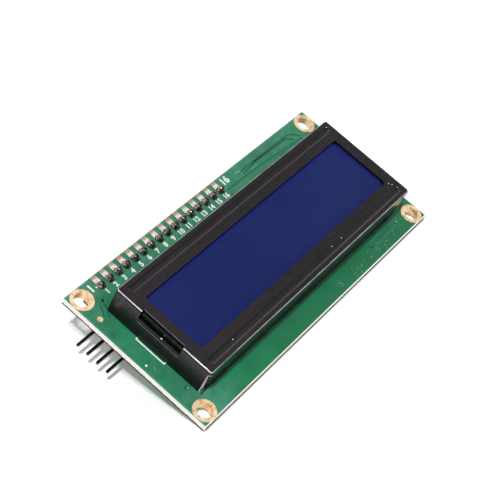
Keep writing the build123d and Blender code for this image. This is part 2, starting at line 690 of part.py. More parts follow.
def trimmer_legs():
    """Square legs from the trimmer through the adapter."""
    high = ADAPTER_TOP + LEG_PROUD
    size = TRIMMER_LEG_SIZE
    return group([block(x, y, size, size, ADAPTER_FACE, high) for x, y in trimmer_leg_places()])


def upper_solder(places, pin):
    """Solder cones on the adapter's upper face."""
    return group([solder_joint(x, y, ADAPTER_TOP, 1, pin) for x, y in places])


def angle_block(x, ys, side):
    """The plastic block of a right-angle header, with its pins' ways through it."""
    centre_x = x + side * (BLOCK_SETBACK + BLOCK_SIZE / 2)
    centre_y = sum(ys) / len(ys)
    width = PIN_PITCH * len(ys)
    piece = block(centre_x, centre_y, BLOCK_SIZE, width, PLUG_LEVEL - BLOCK_SIZE / 2, ADAPTER_FACE)
    piece = chamfer(piece.edges().filter_by(Axis.X), STRIP_NOTCH)
    ways = [Pos(centre_x, y, PLUG_LEVEL) * Box(2 * BLOCK_SIZE, PIN_SIZE, PIN_SIZE) for y in ys]
    nick_size = STRIP_NOTCH * 2 ** 0.5
    nick = Rot(45, 0, 0) * Box(2 * BLOCK_SIZE, nick_size, nick_size)
    low = PLUG_LEVEL - BLOCK_SIZE / 2
    nicks = [Pos(centre_x, y + PIN_PITCH / 2, low) * nick for y in ys[:-1]]
    return piece - ways - nicks


def angle_pins(x, ys, side):
    """Square pins that rise through the adapter, turn and leave level with its edge."""
    tip_x = x + side * (BLOCK_SETBACK + BLOCK_SIZE + PLUG_REACH)
    path = FilletPolyline(
        [(x, ADAPTER_TOP + LEG_PROUD), (x, PLUG_LEVEL), (tip_x, PLUG_LEVEL)],
        radius=LEG_BEND + PIN_SIZE / 2,
    )
    profile = trace(path, PIN_SIZE)
    pins = []
    for y in ys:
        pin = Pos(0, y, 0) * extrude(Plane.XZ * profile, PIN_SIZE / 2, both=True)
        tip = pin.faces().sort_by(Axis.X)[0 if side < 0 else -1]
        pins.append(chamfer(tip.edges(), PIN_CHAMFER))
    return group(pins)


def cap_end_x():
    """Where the jumper cap starts, just off its header block."""
    x, ys, side = plug_rows()[1]
    return x + BLOCK_SETBACK + BLOCK_SIZE + CAP_STANDOFF


def jumper_cap():
    """Moulded cap with one open end, a test slot in the other and three grip grooves."""
    start = cap_end_x()
    centre = start + CAP_LENGTH / 2
    shell = Pos(centre, ADAPTER_Y, PLUG_LEVEL) * Box(CAP_LENGTH, CAP_WIDTH, CAP_HEIGHT)
    shell = chamfer(shell.edges().filter_by(Axis.X), CAP_WALL / 2)
    pocket = Pos(start + CAP_POCKET / 2, ADAPTER_Y, PLUG_LEVEL) * Box(
        CAP_POCKET, CAP_WIDTH - 2 * CAP_WALL, CAP_HEIGHT - 2 * CAP_WALL
    )
    test_slot = Pos(start + CAP_LENGTH, ADAPTER_Y, PLUG_LEVEL) * Box(
        4 * CAP_END_WALL, CAP_TEST_SLOT, CAP_TEST_SLOT_HEIGHT
    )
    grooves = []
    for i in range(CAP_GROOVE_COUNT):
        groove_x = start + CAP_LENGTH - (i + 1.5) * CAP_GROOVE_PITCH
        for s in (-1, 1):
            edge = Pos(groove_x, ADAPTER_Y + s * CAP_WIDTH / 2, PLUG_LEVEL)
            grooves.append(edge * Box(CAP_GROOVE_WIDTH, 2 * CAP_GROOVE_DEPTH, CAP_HEIGHT))
    return shell - pocket - test_slot - grooves


def jumper_clip():
    """Bent metal strip in the cap, with a pair of leaves for each pin."""
    start = cap_end_x() + CAP_WALL
    leaf_y = PIN_SIZE / 2 + CLIP_CLEARANCE + CLIP_THICKNESS / 2
    reach = PIN_PITCH / 2 + leaf_y + CLIP_THICKNESS / 2
    base_high = PLUG_LEVEL - PIN_SIZE / 2 - CLIP_CLEARANCE
    centre = start + CLIP_LENGTH / 2
    clip = block(centre, ADAPTER_Y, CLIP_LENGTH, 2 * reach, base_high - CLIP_THICKNESS, base_high)
    for pin in (-1, 1):
        for leaf in (-1, 1):
            y = ADAPTER_Y + pin * PIN_PITCH / 2 + leaf * leaf_y
            clip += block(centre, y, CLIP_LENGTH, CLIP_THICKNESS, base_high, base_high + CLIP_LEAF_HEIGHT)
    return clip


def transistor():
    """Three-legged switching transistor for the backlight, body then legs."""
    x = ADAPTER_X + TRANSISTOR_OFFSET_X
    y = ADAPTER_INNER_Y + TRANSISTOR_INSET
    low = ADAPTER_FACE - TRANSISTOR_HEIGHT
    body = block(x, y, TRANSISTOR_LENGTH, TRANSISTOR_WIDTH, low, ADAPTER_FACE - LEAD_THICKNESS / 2)
    reach = (TRANSISTOR_SPAN - TRANSISTOR_WIDTH) / 2
    leg_y = TRANSISTOR_WIDTH / 2 + reach / 2
    places = [(x + s * TRANSISTOR_LEG_SPREAD, y - leg_y) for s in (-1, 1)] + [(x, y + leg_y)]
    leg_low = ADAPTER_FACE - 2 * LEAD_THICKNESS
    legs = [block(leg_x, end_y, LEAD_WIDTH, reach, leg_low, ADAPTER_FACE) for leg_x, end_y in places]
    return body, group(legs)


def chip_parts(places, height):
    """Bodies and soldered ends of the small parts at some places on the adapter."""
    bodies = []
    ends = []
    for dx, dy in places:
        x, y = adapter_point(dx, dy)
        body, pair = chip_part(x, y, ADAPTER_FACE, height)
        bodies.append(body)
        ends += pair
    return group(bodies), group(ends)


def address_pads():
    """Three open pairs of bare pads along the adapter's inner edge."""
    size = ADDRESS_PAD_SIZE
    middle_y = ADAPTER_INNER_Y + ADDRESS_PAD_INSET
    pads = []
    for i in range(ADDRESS_PAD_COUNT):
        x = EXPANDER_X + ADDRESS_PAD_PITCH * (i - (ADDRESS_PAD_COUNT - 1) / 2)
        for s in (-1, 1):
            y = middle_y + s * (size + ADDRESS_PAD_GAP) / 2
            pads.append(block(x, y, size, size, ADAPTER_FACE - PLATING, ADAPTER_FACE))
    return group(pads)


def save(name, shape):
    """Write one node."""
    export_step(shape, f"parts/{name}.step")


def main():
    os.makedirs("parts", exist_ok=True)
    save("main_board", main_board())
    save("corner_rings", corner_rings())
    save("edge_pads", edge_pads())
    save("fiducial_pad", fiducial_pad())
    save("link_pins", link_pins())
    save("link_strip", link_strip())
    save("front_solder", front_solder())
    save("adapter_solder", adapter_solder())

    save("bezel", bezel())
    save("front_polariser", front_polariser())
    save("front_glass", front_glass())
    save("rear_glass", rear_glass())
    save("rear_polariser", rear_polariser())
    save("diffuser_sheet", diffuser_sheet())
    save("light_guide", light_guide())
    save("reflector_sheet", reflector_sheet())
    save("backlight_housing", backlight_housing())
    save("light_bar", light_bar())
    save("backlight_diodes", backlight_diodes())
    save("backlight_leads", backlight_leads())
    save("backlight_solder", backlight_solder())
    save("elastomer_strips", elastomer_strips())

    save("controller_blob", blob(CONTROLLER_PLACE))
    save("segment_blob", blob(SEGMENT_DRIVER_PLACE))
    resistor_bodies, resistor_ends = board_resistors()
    save("board_resistors", resistor_bodies)
    save("board_resistor_ends", resistor_ends)

    save("adapter_board", adapter_board())
    save("expander_body", expander_body())
    save("expander_leads", expander_leads())
    save("trimmer_body", trimmer_body())
    save("trimmer_rotor", trimmer_rotor())
    save("trimmer_legs", trimmer_legs())
    save("trimmer_solder", upper_solder(trimmer_leg_places(), TRIMMER_LEG_SIZE))
    for name, row in zip(("plug", "jumper"), plug_rows()):
        x, ys, side = row
        save(f"{name}_block", angle_block(x, ys, side))
        save(f"{name}_pins", angle_pins(x, ys, side))
        save(f"{name}_solder", upper_solder([(x, y) for y in ys], PIN_SIZE))
    save("jumper_cap", jumper_cap())
    save("jumper_clip", jumper_clip())

    body, legs = transistor()
    save("transistor_body", body)
    save("transistor_legs", legs)
    small_parts = [
        ("adapter_resistor", RESISTOR_PLACES, CHIP_PART_HEIGHT),
        ("adapter_capacitor", CAPACITOR_PLACES, CAPACITOR_HEIGHT),
        ("power_lamp", POWER_LAMP_PLACES, POWER_LAMP_HEIGHT),
    ]
    for name, places, height in small_parts:
        bodies, ends = chip_parts(places, height)
        save(f"{name}_body", bodies)
        save(f"{name}_ends", ends)
    save("address_pads", address_pads())


main()
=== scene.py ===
"""Looks for the 16 by 2 character display module with its serial adapter.

The CAD nodes keep their shapes and get detailed materials. The solder joints and resin domes are
replaced by flowing ones, and thin pieces add what is printed, etched and plated on the two boards.
Sizes are in millimetres of the row frame, and MM brings them to metres.
"""

import math
import random

import bmesh
import bpy
from mathutils import Euler, Matrix, Vector, noise


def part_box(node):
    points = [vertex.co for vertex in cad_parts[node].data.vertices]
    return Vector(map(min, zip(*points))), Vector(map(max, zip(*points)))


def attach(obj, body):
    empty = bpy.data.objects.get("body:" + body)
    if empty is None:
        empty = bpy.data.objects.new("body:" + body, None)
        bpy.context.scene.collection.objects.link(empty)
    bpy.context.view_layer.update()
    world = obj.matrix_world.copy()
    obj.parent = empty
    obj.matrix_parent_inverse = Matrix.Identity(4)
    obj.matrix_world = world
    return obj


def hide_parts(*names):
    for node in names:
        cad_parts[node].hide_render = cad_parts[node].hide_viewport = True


MM = 0.001
RANDOM_SEED = 16

# Camera, solved on the board's corners and holes. The clip limits are in metres.
CAMERA_AIM = (-0.854, 1.784, 0.0)
CAMERA_DISTANCE = 285.0
CAMERA_AZIMUTH = 75.509
CAMERA_ELEVATION = 48.093
CAMERA_ROLL = 30.118
CAMERA_LENS = 101.55
SENSOR_WIDTH = 36.0
CLIP_START = 0.01
CLIP_END = 10.0

# Lamps, by direction, angle across in degrees, and level on a face turned to the lamp.
# The key's shadows fall as the photograph's do. The last lamp shows the hidden side.
LAMPS = {
    "key": ((0.474, -0.14, -1.0), 2.0, 0.46),
    "soft": ((0.37, -0.11, -1.0), 5.0, 0.36),
    "fill": ((0.25, 0.90, -0.40), 30.0, 0.34),
    "under": ((0.15, 0.20, 1.0), 60.0, 0.38),
}
AMBIENT_LEVEL = 0.24

# Floor: the module leans on its near long edge and on the trimmer. The lift is painted light that
# camera, gloss and glass rays see on top of the lit floor, at two places along Y: weaker towards
# the near edge, so the shadow there stays darker.
FLOOR_REACH = 1200.0
FLOOR_GAP = 0.02
FLOOR_WHITE = 0.96
FLOOR_LIFT = (0.07, 0.2)
FLOOR_LIFT_Y = (-8.0, 12.0)

# Printed marks on the main board. Shifts are from the pin that a mark belongs to, and a
# figure's height is a share of its font's size.
LABEL_Y = 13.73
LABEL_HEIGHT = 1.15
END_LABEL_HEIGHT = 1.7
FIRST_LABEL_SHIFT = (-2.25, 0.6)
LAST_LABEL_SHIFT = (2.8, 1.0)
PIN_DOT_SHIFT = (-1.1, 0.2)
PIN_DOT_RADIUS = 0.22
END_DOT = (-38.8, -2.0)
END_DOT_RADIUS = 0.24
FIGURE_SHARE = 0.72
LETTER_WEIGHT = 0.055
INK_THICKNESS = 0.02
INK_LINE = 0.26
BRACKET_X = -35.85
BRACKET_ENDS = (3.1, -3.95)
BRACKET_RETURN = 0.5

# Solder joints by kind: radius on the pad, radius at the pin, and height. Then the sides and
# rings of a mesh, how fast it narrows and rises, how square and uneven it is, and its noise.
JOINT_SIZES = {
    "front": (0.94, 0.46, 1.05),
    "adapter": (0.86, 0.44, 0.95),
    "plug": (0.86, 0.44, 0.9),
    "jumper": (0.86, 0.44, 0.9),
    "trimmer": (0.86, 0.36, 0.9),
    "backlight": (0.86, 0.36, 0.9),
}
JOINT_SIDES = 28
JOINT_RINGS = 9
JOINT_SWEEP = 1.9
JOINT_RISE = 0.85
JOINT_SQUARENESS = 0.10
JOINT_UNEVEN = 0.11
JOINT_TOP_UNEVEN = 0.12
JOINT_HEIGHT_UNEVEN = 0.22
JOINT_FOOT_UNEVEN = 1.15
SEED_STEP = 3.7
HEIGHT_SEED_STEP, HEIGHT_SEED_PLACE = 1.9, 2.0

# Mounds of resin
DOME_SIDES = 72
DOME_RINGS = 18
DOME_FULLNESS = 2.6
DOME_UNEVEN = 0.06
DOME_WAVES = 1.3
DOME_WIDTH_SHARE = 0.99
DOME_HEIGHT_SHARE = 0.98

# The bezel's walls, end to end and side to side, and the width of their rounded fold. Then how
# far its paler plug end reaches, and how far below the top the painted dark band, the painted
# highlight line and the pale streak of the near corner begin and end.
BEZEL_SIDES = (-35.4, 35.4), (-12.65, 11.1)
FOLD_WIDTH = 0.46
PALE_END_X = (-32.0, 4.0)
DARK_BAND = (0.62, 0.26)
HIGHLIGHT_LINE = (0.21, 0.09)
STREAK_TOP = (1.3, 0.9)
STREAK_X, STREAK_Y = (0.45, 0.6), (0.5, 0.58)

# The window's half sizes, the display's bluer rim, and the rounder corner of the black seal
WINDOW_HALVES = (32.5, 7.08)
RIM_ALONG = (30.6, 32.5)
RIM_ACROSS = (5.4, 7.1)
SEAL_CORNER = 1.5

# The notch over the plug: its two ends along Y, the painted highlight and shade lines on its
# flanks by height, and a painted glint's place, height and radius
NOTCH_SIDES = (-5.6, 4.75)
NOTCH_LINES = [
    (3.90, 4.40, (0.0006, 0.0006, 0.0006, 1.0)),
    (3.74, 3.86, (0.26, 0.24, 0.25, 1.0)),
    (4.42, 4.60, (0.14, 0.15, 0.17, 1.0)),
    (6.86, 7.02, (0.22, 0.19, 0.20, 1.0)),
]
NOTCH_GLINT = (-35.2, -1.0)
GLINT_LEVEL, GLINT_RADIUS = 4.5, 0.17

# Dark gap shadow at the foot of the near wall, and dark painted-shade strips in the lug slots, by
# X and length. The near wall has one short slot more.
FOOT_LINE_Y = -12.75
FOOT_LINE_WIDTH = 0.28
FOOT_LINE_STEP = 0.9
FOOT_LINE_POINTS = 79
FOOT_LINE_SHAKE = 0.05
FAR_SLOTS = [(-29.5, 5.0), (0.0, 7.2), (29.5, 5.0)]
NEAR_SLOTS = FAR_SLOTS + [(-15.5, 2.4)]
SLOT_SHADE_WIDTH = 0.33
SLOT_SHADE_DEPTH = 0.3
SLOT_SHADE_INSET = 0.06
SLOT_FROM_WALL = 0.17

# Where the films, the painted sheen at the plug end's near corner and the deeper tone on the main
# board's mask begin and end
FAR_STRIP_Y = (11.5, 15.0)
SHEEN_X, SHEEN_Y = (-35.0, -23.0), (-14.0, -5.0)
PLUG_END_X = (-37.0, -34.0)
DEEP_X, DEEP_Y = (-22.0, -4.0), (-11.0, -8.0)
NEAR_EDGE_X, NEAR_EDGE_Y = (-34.0, -26.0), (-14.6, -12.8)

# Copper under the mask of the main board's front, as lines of points on its face. A via has a
# radius, the radius of its hole, and that of the painted glint in it.
TRACE_WIDTH = 0.26
TRACE_OFFSET = Vector((0.05, -0.27))
TRACE_THICKNESS = 0.012
MITRE_LIMIT = 0.5
FRONT_TRACES = [
    [(12.9, 16.0), (16.03, 16.11), (31.22, 15.97), (32.17, 15.56), (33.67, 13.98)],
    [(13.9, 15.2), (18.99, 15.77), (30.0, 15.5), (30.9, 14.9), (31.6, 14.1)],
    [(7.59, 14.68), (20.0, 14.4), (33.43, 13.35), (34.2, 12.6)],
    [(31.08, -12.71), (22.5, -13.9), (21.63, -14.32), (22.22, -15.21), (32.44, -14.62)],
    [(-34.26, 13.27), (-34.89, 12.12), (-35.23, 11.08), (-36.2, 9.6)],
    [(-33.5, 13.5), (-35.4, 12.75), (-35.87, 12.0), (-36.9, 10.4)],
    [(-36.4, -10.2), (-36.9, -9.8)],
]
FRONT_VIAS = [(32.66, -14.56), (-36.3, -10.3)]
FRONT_VIA_RADII = (0.5, 0.28, 0.17)

# Painted glints by X, Y, length, slope and width, the limits of the random ones, and pale specks
# on the bezel: dust, and painted highlights at the beads' ends
GLINTS = [
    (13.2, 16.18, 1.5, -0.28, 0.16), (19.9, -16.3, 0.5, 0.3, 0.08), (26.4, -16.1, 0.4, -0.2, 0.08),
    (-37.9, -3.4, 0.5, 1.1, 0.07), (22.9, -15.9, 0.3, 0.5, 0.08), (14.5, -16.2, 0.4, 0.2, 0.08),
    (8.6, -15.4, 0.3, -0.4, 0.07),
]
RANDOM_GLINT_COUNT = 22
RANDOM_GLINT_LIMITS = ((8.0, 31.0), (-17.3, -14.8), (0.12, 0.3), (-1.0, 1.0))
RANDOM_GLINT_WIDTH = 0.09
BEZEL_SPECKS = [
    (33.64, -10.39), (33.73, 9.71), (11.64, -10.23), (8.06, -10.24), (32.79, -8.5), (33.25, -9.17),
    (-26.28, -10.51),
]
SPECK_RADIUS = 0.11
SPECK_SINK = 0.01

# Copper and print on the back of the main board. Each fan runs from a chip's mound to a row of
# vias, and the bus joins the mounds. A label has a shift and a height, a ring two radii, and
# a margin is how far print keeps from what it goes round.
PIN_PITCH = 2.54
PRINT_LINE = 0.16
BACK_TRACE_WIDTH = 0.32
VIA_RADIUS = 0.36
FAN_ROWS = (-15.6, 15.8)
FAN_COUNT = 9
FAN_PITCH = 1.9
FAN_TURN = 0.24
FAN_REACH = 2.2
FAN_STAGGER = 3
MOUND_MARGIN = 0.5
BUS_COUNT = 6
BUS_PITCH = 1.1
BUS_START = 0.4
BUS_STRAIGHT = 3.0
BUS_DROP = 1.0
RESISTOR_PITCH = 1.2
RESISTOR_HALF = 1.0
RESISTOR_START = 0.3
RESISTOR_COLUMNS = (24.6, 32.4)
RESISTOR_LABEL = (-2.0, 0.9)
RESISTOR_MARGIN = 0.45
LEAD_RING = (1.05, 0.3)

# The same on the adapter. The expander's routes: way out, first bend's Y and its step, second
# bend's Y, and stop before the pin. The plug's: way out, X of both bends and of the end, then
# the Y they close in on, the Y they close in from, and how much.
JOINT_RING = (0.98, 0.3)
PLUG_RING = (0.92, 0.42)
FIRST_EXPANDER_PIN = 4
EXPANDER_ROUTE = (1.0, 12.0, 0.1, 13.4, 0.8)
PLUG_ROUTE = (0.9, -28.4, -24.6, -22.4)
PLUG_FAN = (6.0, 7.3, 0.5)
PLUG_LABEL = (1.7, 0.75, 1.0)
ADAPTER_MARGIN = 0.35
SMALL_PART_HALVES = (1.4, 1.0)
CHIP_DOT = (-1.0, -0.6, 0.3)
ADAPTER_LABEL = (-1.75, 1.1)


class Nodes:
    """A node tree, with short ways to add to it."""

    def __init__(self, tree):
        self.tree = tree

    def node(self, kind, **settings):
        made = self.tree.nodes.new(kind)
        for name, value in settings.items():
            setattr(made, name, value)
        return made

    def join(self, source, target):
        """Links a socket to an input, or writes a plain value on it."""
        if isinstance(source, bpy.types.NodeSocket):
            self.tree.links.new(source, target)
        else:
            target.default_value = source

    def math(self, operation, first, second=0.0, kind="ShaderNodeMath"):
        made = self.node(kind, operation=operation)
        self.join(first, made.inputs[0])
        self.join(second, made.inputs[1])
        return made.outputs[0]

    def times(self, first, second):
        return self.math("MULTIPLY", first, second)

    def plus(self, first, second):
        return self.math("ADD", first, second)

    def minus(self, first, second):
        return self.math("SUBTRACT", first, second)

    def most(self, first, second):
        return self.math("MAXIMUM", first, second)

    def size(self, value):
        return self.math("ABSOLUTE", value)

    def remap(self, value, low, high, start, end, kind="LINEAR"):
        """The value's range low to high, brought to start to end and held there."""
        made = self.node("ShaderNodeMapRange", interpolation_type=kind)
        for source, target in zip((value, low, high, start, end), made.inputs):
            self.join(source, target)
        return made.outputs["Result"]


class Look(Nodes):
    """One node material. Its coordinates are millimetres of the row frame at rest."""

    def __init__(self, name):
        self.material = bpy.data.materials.new(name)
        self.material.use_nodes = True
        super().__init__(self.material.node_tree)
        self.shader = self.tree.nodes["Principled BSDF"]
        self.coordinates = self.node("ShaderNodeTexCoord")
        self.place = self.stretched(self.coordinates.outputs["Object"], [1 / MM] * 3)

    def axis(self, which, normal=False):
        """One coordinate of the place, or of the surface's own normal."""
        split = self.node("ShaderNodeSeparateXYZ")
        self.join(self.coordinates.outputs["Normal"] if normal else self.place, split.inputs[0])
        return split.outputs[which]

    def stretched(self, place, factors):
        """A place with each axis multiplied."""
        return self.math("MULTIPLY", place, factors, kind="ShaderNodeVectorMath")

    def noise(self, size, detail=4.0, roughness=0.55, stretch=(1.0, 1.0, 1.0)):
        """Cloudy noise from 0 to 1 whose features are about size millimetres wide."""
        made = self.node("ShaderNodeTexNoise")
        self.join(self.stretched(self.place, stretch), made.inputs["Vector"])
        self.join(1 / size, made.inputs["Scale"])
        self.join(detail, made.inputs["Detail"])
        self.join(roughness, made.inputs["Roughness"])
        return made.outputs["Fac"]

    def cells(self, size):
        """Distance to the nearest of scattered points about size millimetres apart."""
        made = self.node("ShaderNodeTexVoronoi")
        self.join(self.place, made.inputs["Vector"])
        self.join(1 / size, made.inputs["Scale"])
        return made.outputs["Distance"]

    def waves(self, which, turns):
        """A sine along one axis, turning by so many radians a millimetre."""
        return self.math("SINE", self.times(self.axis(which), turns))

    def within(self, sides_x, sides_y, margin):
        """1 in the outer margin of a plan with these sides, 0 further in."""
        shares = []
        for which, sides in (("X", sides_x), ("Y", sides_y)):
            away = self.minus(self.axis(which), sum(sides) / 2)
            limit = (sides[1] - sides[0]) / 2 - margin
            shares.append(self.math("GREATER_THAN", self.size(away), limit))
        return self.most(*shares)

    def ramp(self, value, low, high, start=0.0, end=1.0):
        """A remap with soft ends."""
        return self.remap(value, low, high, start, end, kind="SMOOTHSTEP")

    def cloud(self, size, low, high, start=0.0, end=1.0, **grain):
        """Noise, with its range low to high brought to start to end."""
        return self.ramp(self.noise(size, **grain), low, high, start, end)

    def fall(self, value, low, high):
        """1 below a range and 0 above it."""
        return self.ramp(value, low, high, 1.0, 0.0)

    def band(self, value, start, end, soft):
        """1 where a value is between two limits, with soft flanks."""
        rise = self.ramp(value, start - soft, start + soft)
        return self.times(rise, self.fall(value, end - soft, end + soft))

    def level_faces(self):
        """1 on faces that look up or down, 0 on upright ones."""
        return self.ramp(self.size(self.axis("Z", normal=True)), 0.4, 0.6)

    def mix(self, share, first, second):
        """A colour between two colours."""
        made = self.node("ShaderNodeMix", data_type="RGBA")
        self.join(share, made.inputs[0])
        self.join(first, made.inputs[6])
        self.join(second, made.inputs[7])
        return made.outputs[2]

    def tint(self, colour, share, tone, strength):
        """A colour with a tone over it, where the share says and as strong as told."""
        return self.mix(self.times(share, strength), colour, tone)

    def bump(self, height, distance, strength):
        """Relief that many millimetres deep, on top of any made before it."""
        made = self.node("ShaderNodeBump")
        self.join(height, made.inputs["Height"])
        self.join(distance * MM, made.inputs["Distance"])
        self.join(strength, made.inputs["Strength"])
        before = self.shader.inputs["Normal"].links
        if before:
            self.join(before[0].from_socket, made.inputs["Normal"])
        self.join(made.outputs[0], self.shader.inputs["Normal"])

    def finish(self, **values):
        """Writes the shader's inputs by name, with underscores for spaces."""
        for name, value in values.items():
            self.join(value, self.shader.inputs[name.replace("_", " ")])
        return self.material


def rgb(red, green, blue):
    """A colour given from 0 to 255, as the linear one that a shader takes."""
    def linear(value):
        share = value / 255
        return share / 12.92 if share <= 0.04045 else ((share + 0.055) / 1.055) ** 2.4
    return linear(red), linear(green), linear(blue), 1.0


def grey(level):
    """A linear grey, also for a plain number that two looks are mixed by."""
    return level, level, level, 1.0


def box(node):
    """A CAD node's low and high corners, in millimetres."""
    low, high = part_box(node)
    return low / MM, high / MM


def flux_haze(look, mask, dark_mask):
    """Pale films on the far strip and plug end, painted sheen at its near corner, deeper near strip.
    """
    along, across = look.axis("X"), look.axis("Y")
    # Painted sheen over the plug end's near corner
    corner = look.times(look.fall(along, *SHEEN_X), look.fall(across, *SHEEN_Y))
    film_and_sheen = look.most(look.ramp(across, *FAR_STRIP_Y), corner)
    film_and_sheen = look.most(film_and_sheen, look.ramp(along, *PLUG_END_X, 0.55, 0.0))
    patches = look.cloud(2.4, 0.32, 0.68, 0.2, 0.75, detail=5.0, roughness=0.6)
    mask = look.tint(mask, film_and_sheen, rgb(78, 138, 118), patches)
    deep = look.ramp(along, *DEEP_X, 0.0, 0.6)
    mask = look.tint(mask, look.fall(across, *DEEP_Y), rgb(12, 88, 58), deep)
    near_edge = look.ramp(along, *NEAR_EDGE_X, 0.0, 0.35)
    return look.tint(mask, look.fall(across, *NEAR_EDGE_Y), dark_mask, near_edge)


def board_look(name, node, light_mask, dark_mask, edge, edge_foot_shade, bore_shade, films_and_painted_light=False):
    """Solder mask over woven glass fibre: pale outer edges, painted shade low on them and in holes.

    The main board adds films, painted sheen, a painted highlight on the near rim, and dark long sides.
    """
    look = Look(name)
    low, high = box(node)
    sides = (low.x, high.x), (low.y, high.y)
    pour = look.cloud(11.0, 0.40, 0.62, detail=2.0)
    mottle = look.cloud(0.7, 0.3, 0.75, detail=6.0, roughness=0.7)
    mask = look.mix(pour, light_mask, dark_mask)
    mask = look.tint(mask, mottle, dark_mask, 0.45)
    weave = look.times(look.waves("X", 14.0), look.waves("Y", 12.0))
    mask = look.mix(look.ramp(weave, 0.2, 0.9, 0.0, 0.22), mask, light_mask)
    if films_and_painted_light:
        mask = flux_haze(look, mask, dark_mask)
    # Painted highlight along the outer rim of the top face
    mask = look.tint(mask, look.within(*sides, 0.28), rgb(120, 172, 150), 0.4)
    # Painted highlight on the main board's near rim, in the pale colour of its cut edges
    if films_and_painted_light:
        painted_highlight = look.fall(look.axis("Y"), low.y + 0.2, low.y + 0.3)
        mask = look.tint(mask, painted_highlight, edge, 0.95)
    # Painted shade low on the cut edges, over their whole height on the main board's long sides, and
    # in every hole and slot
    fray = look.times(look.noise(0.5, stretch=(1.0, 1.0, 3.0)), 0.5)
    height = look.plus(look.minus(look.axis("Z"), low.z), fray)
    side = look.size(look.axis("Y", normal=True))
    foot_top = look.ramp(side, 0.4, 0.6, 0.62, 2.2 if films_and_painted_light else 1.3)
    foot = look.fall(look.minus(height, foot_top), -0.08, 0.08)
    fibre = look.cloud(0.16, 0.4, 0.7, 0.0, 0.35, stretch=(1.0, 1.0, 6.0))
    cut = look.mix(fibre, look.mix(foot, edge, edge_foot_shade), edge_foot_shade)
    cut = look.mix(look.within(*sides, 0.06), bore_shade, cut)
    flat = look.level_faces()
    dull = look.cloud(0.8, 0.3, 0.7, 0.28, 0.44, detail=6.0)
    look.bump(weave, 0.004, 0.5)
    look.bump(look.noise(0.35, detail=5.0), 0.006, 0.6)
    return look.finish(
        Base_Color=look.mix(flat, cut, mask),
        Roughness=look.mix(flat, grey(0.8), dull),
        Specular_IOR_Level=0.3,
    )


def metal_look(name, bright, dark, grain, roughness, metallic=1.0, relief=0.006):
    """Plated or soldered metal with darker stains and fine pits."""
    look = Look(name)
    stain = look.cloud(grain, 0.42, 0.68)
    pits = look.fall(look.cells(grain * 0.35), 0.0, 0.25)
    colour = look.tint(look.mix(stain, bright, dark), pits, dark, 0.4)
    rough = look.cloud(grain * 0.5, 0.25, 0.75, roughness * 0.75, roughness * 1.35, detail=6.0)
    look.bump(look.noise(grain * 0.4, detail=6.0), relief, 0.7)
    return look.finish(Base_Color=colour, Metallic=metallic, Roughness=rough)


def pin_look():
    """Square pins: dark above and below, bright on the sides and tips, all as painted reflection."""
    look = Look("dark_pin")
    stain = look.cloud(0.8, 0.42, 0.68)
    # Painted reflection: dark above and below, bright in patches on the upright sides and tips
    lit_sides = look.fall(look.size(look.axis("Z", normal=True)), 0.3, 0.5)
    sheen_patches = look.cloud(0.5, 0.3, 0.6, 0.5, 1.0, detail=5.0, stretch=(0.3, 1.0, 1.0))
    colour = look.mix(stain, rgb(34, 31, 31), rgb(16, 14, 14))
    colour = look.tint(colour, lit_sides, rgb(214, 206, 204), sheen_patches)
    rough = look.cloud(0.4, 0.25, 0.75, 0.26, 0.4, detail=6.0)
    look.bump(look.noise(0.3, detail=6.0), 0.005, 0.7)
    return look.finish(Base_Color=colour, Metallic=0.35, Roughness=rough)


def tinned_look():
    """Hot tinned copper. The pin row's pads are brown outside, painted shade inside, mask between."""
    look = Look("tin")
    stain = look.cloud(0.7, 0.42, 0.68)
    colour = look.tint(rgb(238, 224, 216), stain, rgb(182, 156, 142), 0.6)
    low, high = box("edge_pads")
    ripple = look.times(look.noise(0.5), 0.7)
    place = look.plus(look.axis("Y"), ripple)
    front = look.math("GREATER_THAN", look.axis("Z"), low.z - 0.02)
    outer = look.ramp(place, high.y - 0.7, high.y - 0.1)
    colour = look.tint(colour, outer, rgb(168, 148, 128), front)
    # Painted shade on the inner part of the pin row's pads, round the pins
    inner = look.fall(place, low.y + 0.9, low.y + 1.9)
    colour = look.tint(colour, inner, rgb(86, 74, 72), front)
    steps = look.math("DIVIDE", look.minus(look.axis("X"), low.x), PIN_PITCH)
    middle = (high.x - low.x) / PIN_PITCH % 1.0 / 2
    off = look.minus(look.math("FRACT", look.plus(steps, 0.5 - middle)), 0.5)
    off = look.plus(look.size(off), look.times(ripple, 0.05))
    masked = look.times(look.ramp(off, 0.27, 0.31), front)
    rough = look.cloud(0.35, 0.25, 0.75, 0.28, 0.5, detail=6.0)
    look.bump(look.noise(0.3, detail=6.0), 0.008, 0.7)
    return look.finish(
        Base_Color=look.mix(masked, colour, rgb(30, 112, 74)),
        Metallic=look.mix(masked, grey(0.75), grey(0.0)),
        Roughness=rough,
    )


def moulded_look(name, colour, wear_and_highlight, grain, roughness, relief=0.004, subsurface=0.0):
    """Moulded plastic or resin with fine texture and slight shifts of shade."""
    look = Look(name)
    colour, wear_and_highlight = rgb(*colour), rgb(*wear_and_highlight)
    body = look.tint(colour, look.cloud(grain * 6, 0.3, 0.7), wear_and_highlight, 0.5)
    fleck = look.cloud(grain, 0.55, 0.8, detail=8.0, roughness=0.7)
    rough = look.cloud(grain * 2, 0.3, 0.7, roughness * 0.85, roughness * 1.2)
    look.bump(look.noise(grain, detail=6.0), relief, 0.8)
    return look.finish(
        Base_Color=look.tint(body, fleck, wear_and_highlight, 0.6),
        Roughness=rough,
        Subsurface_Weight=subsurface,
        Subsurface_Radius=(MM, MM, MM),
        Specular_IOR_Level=0.4,
    )


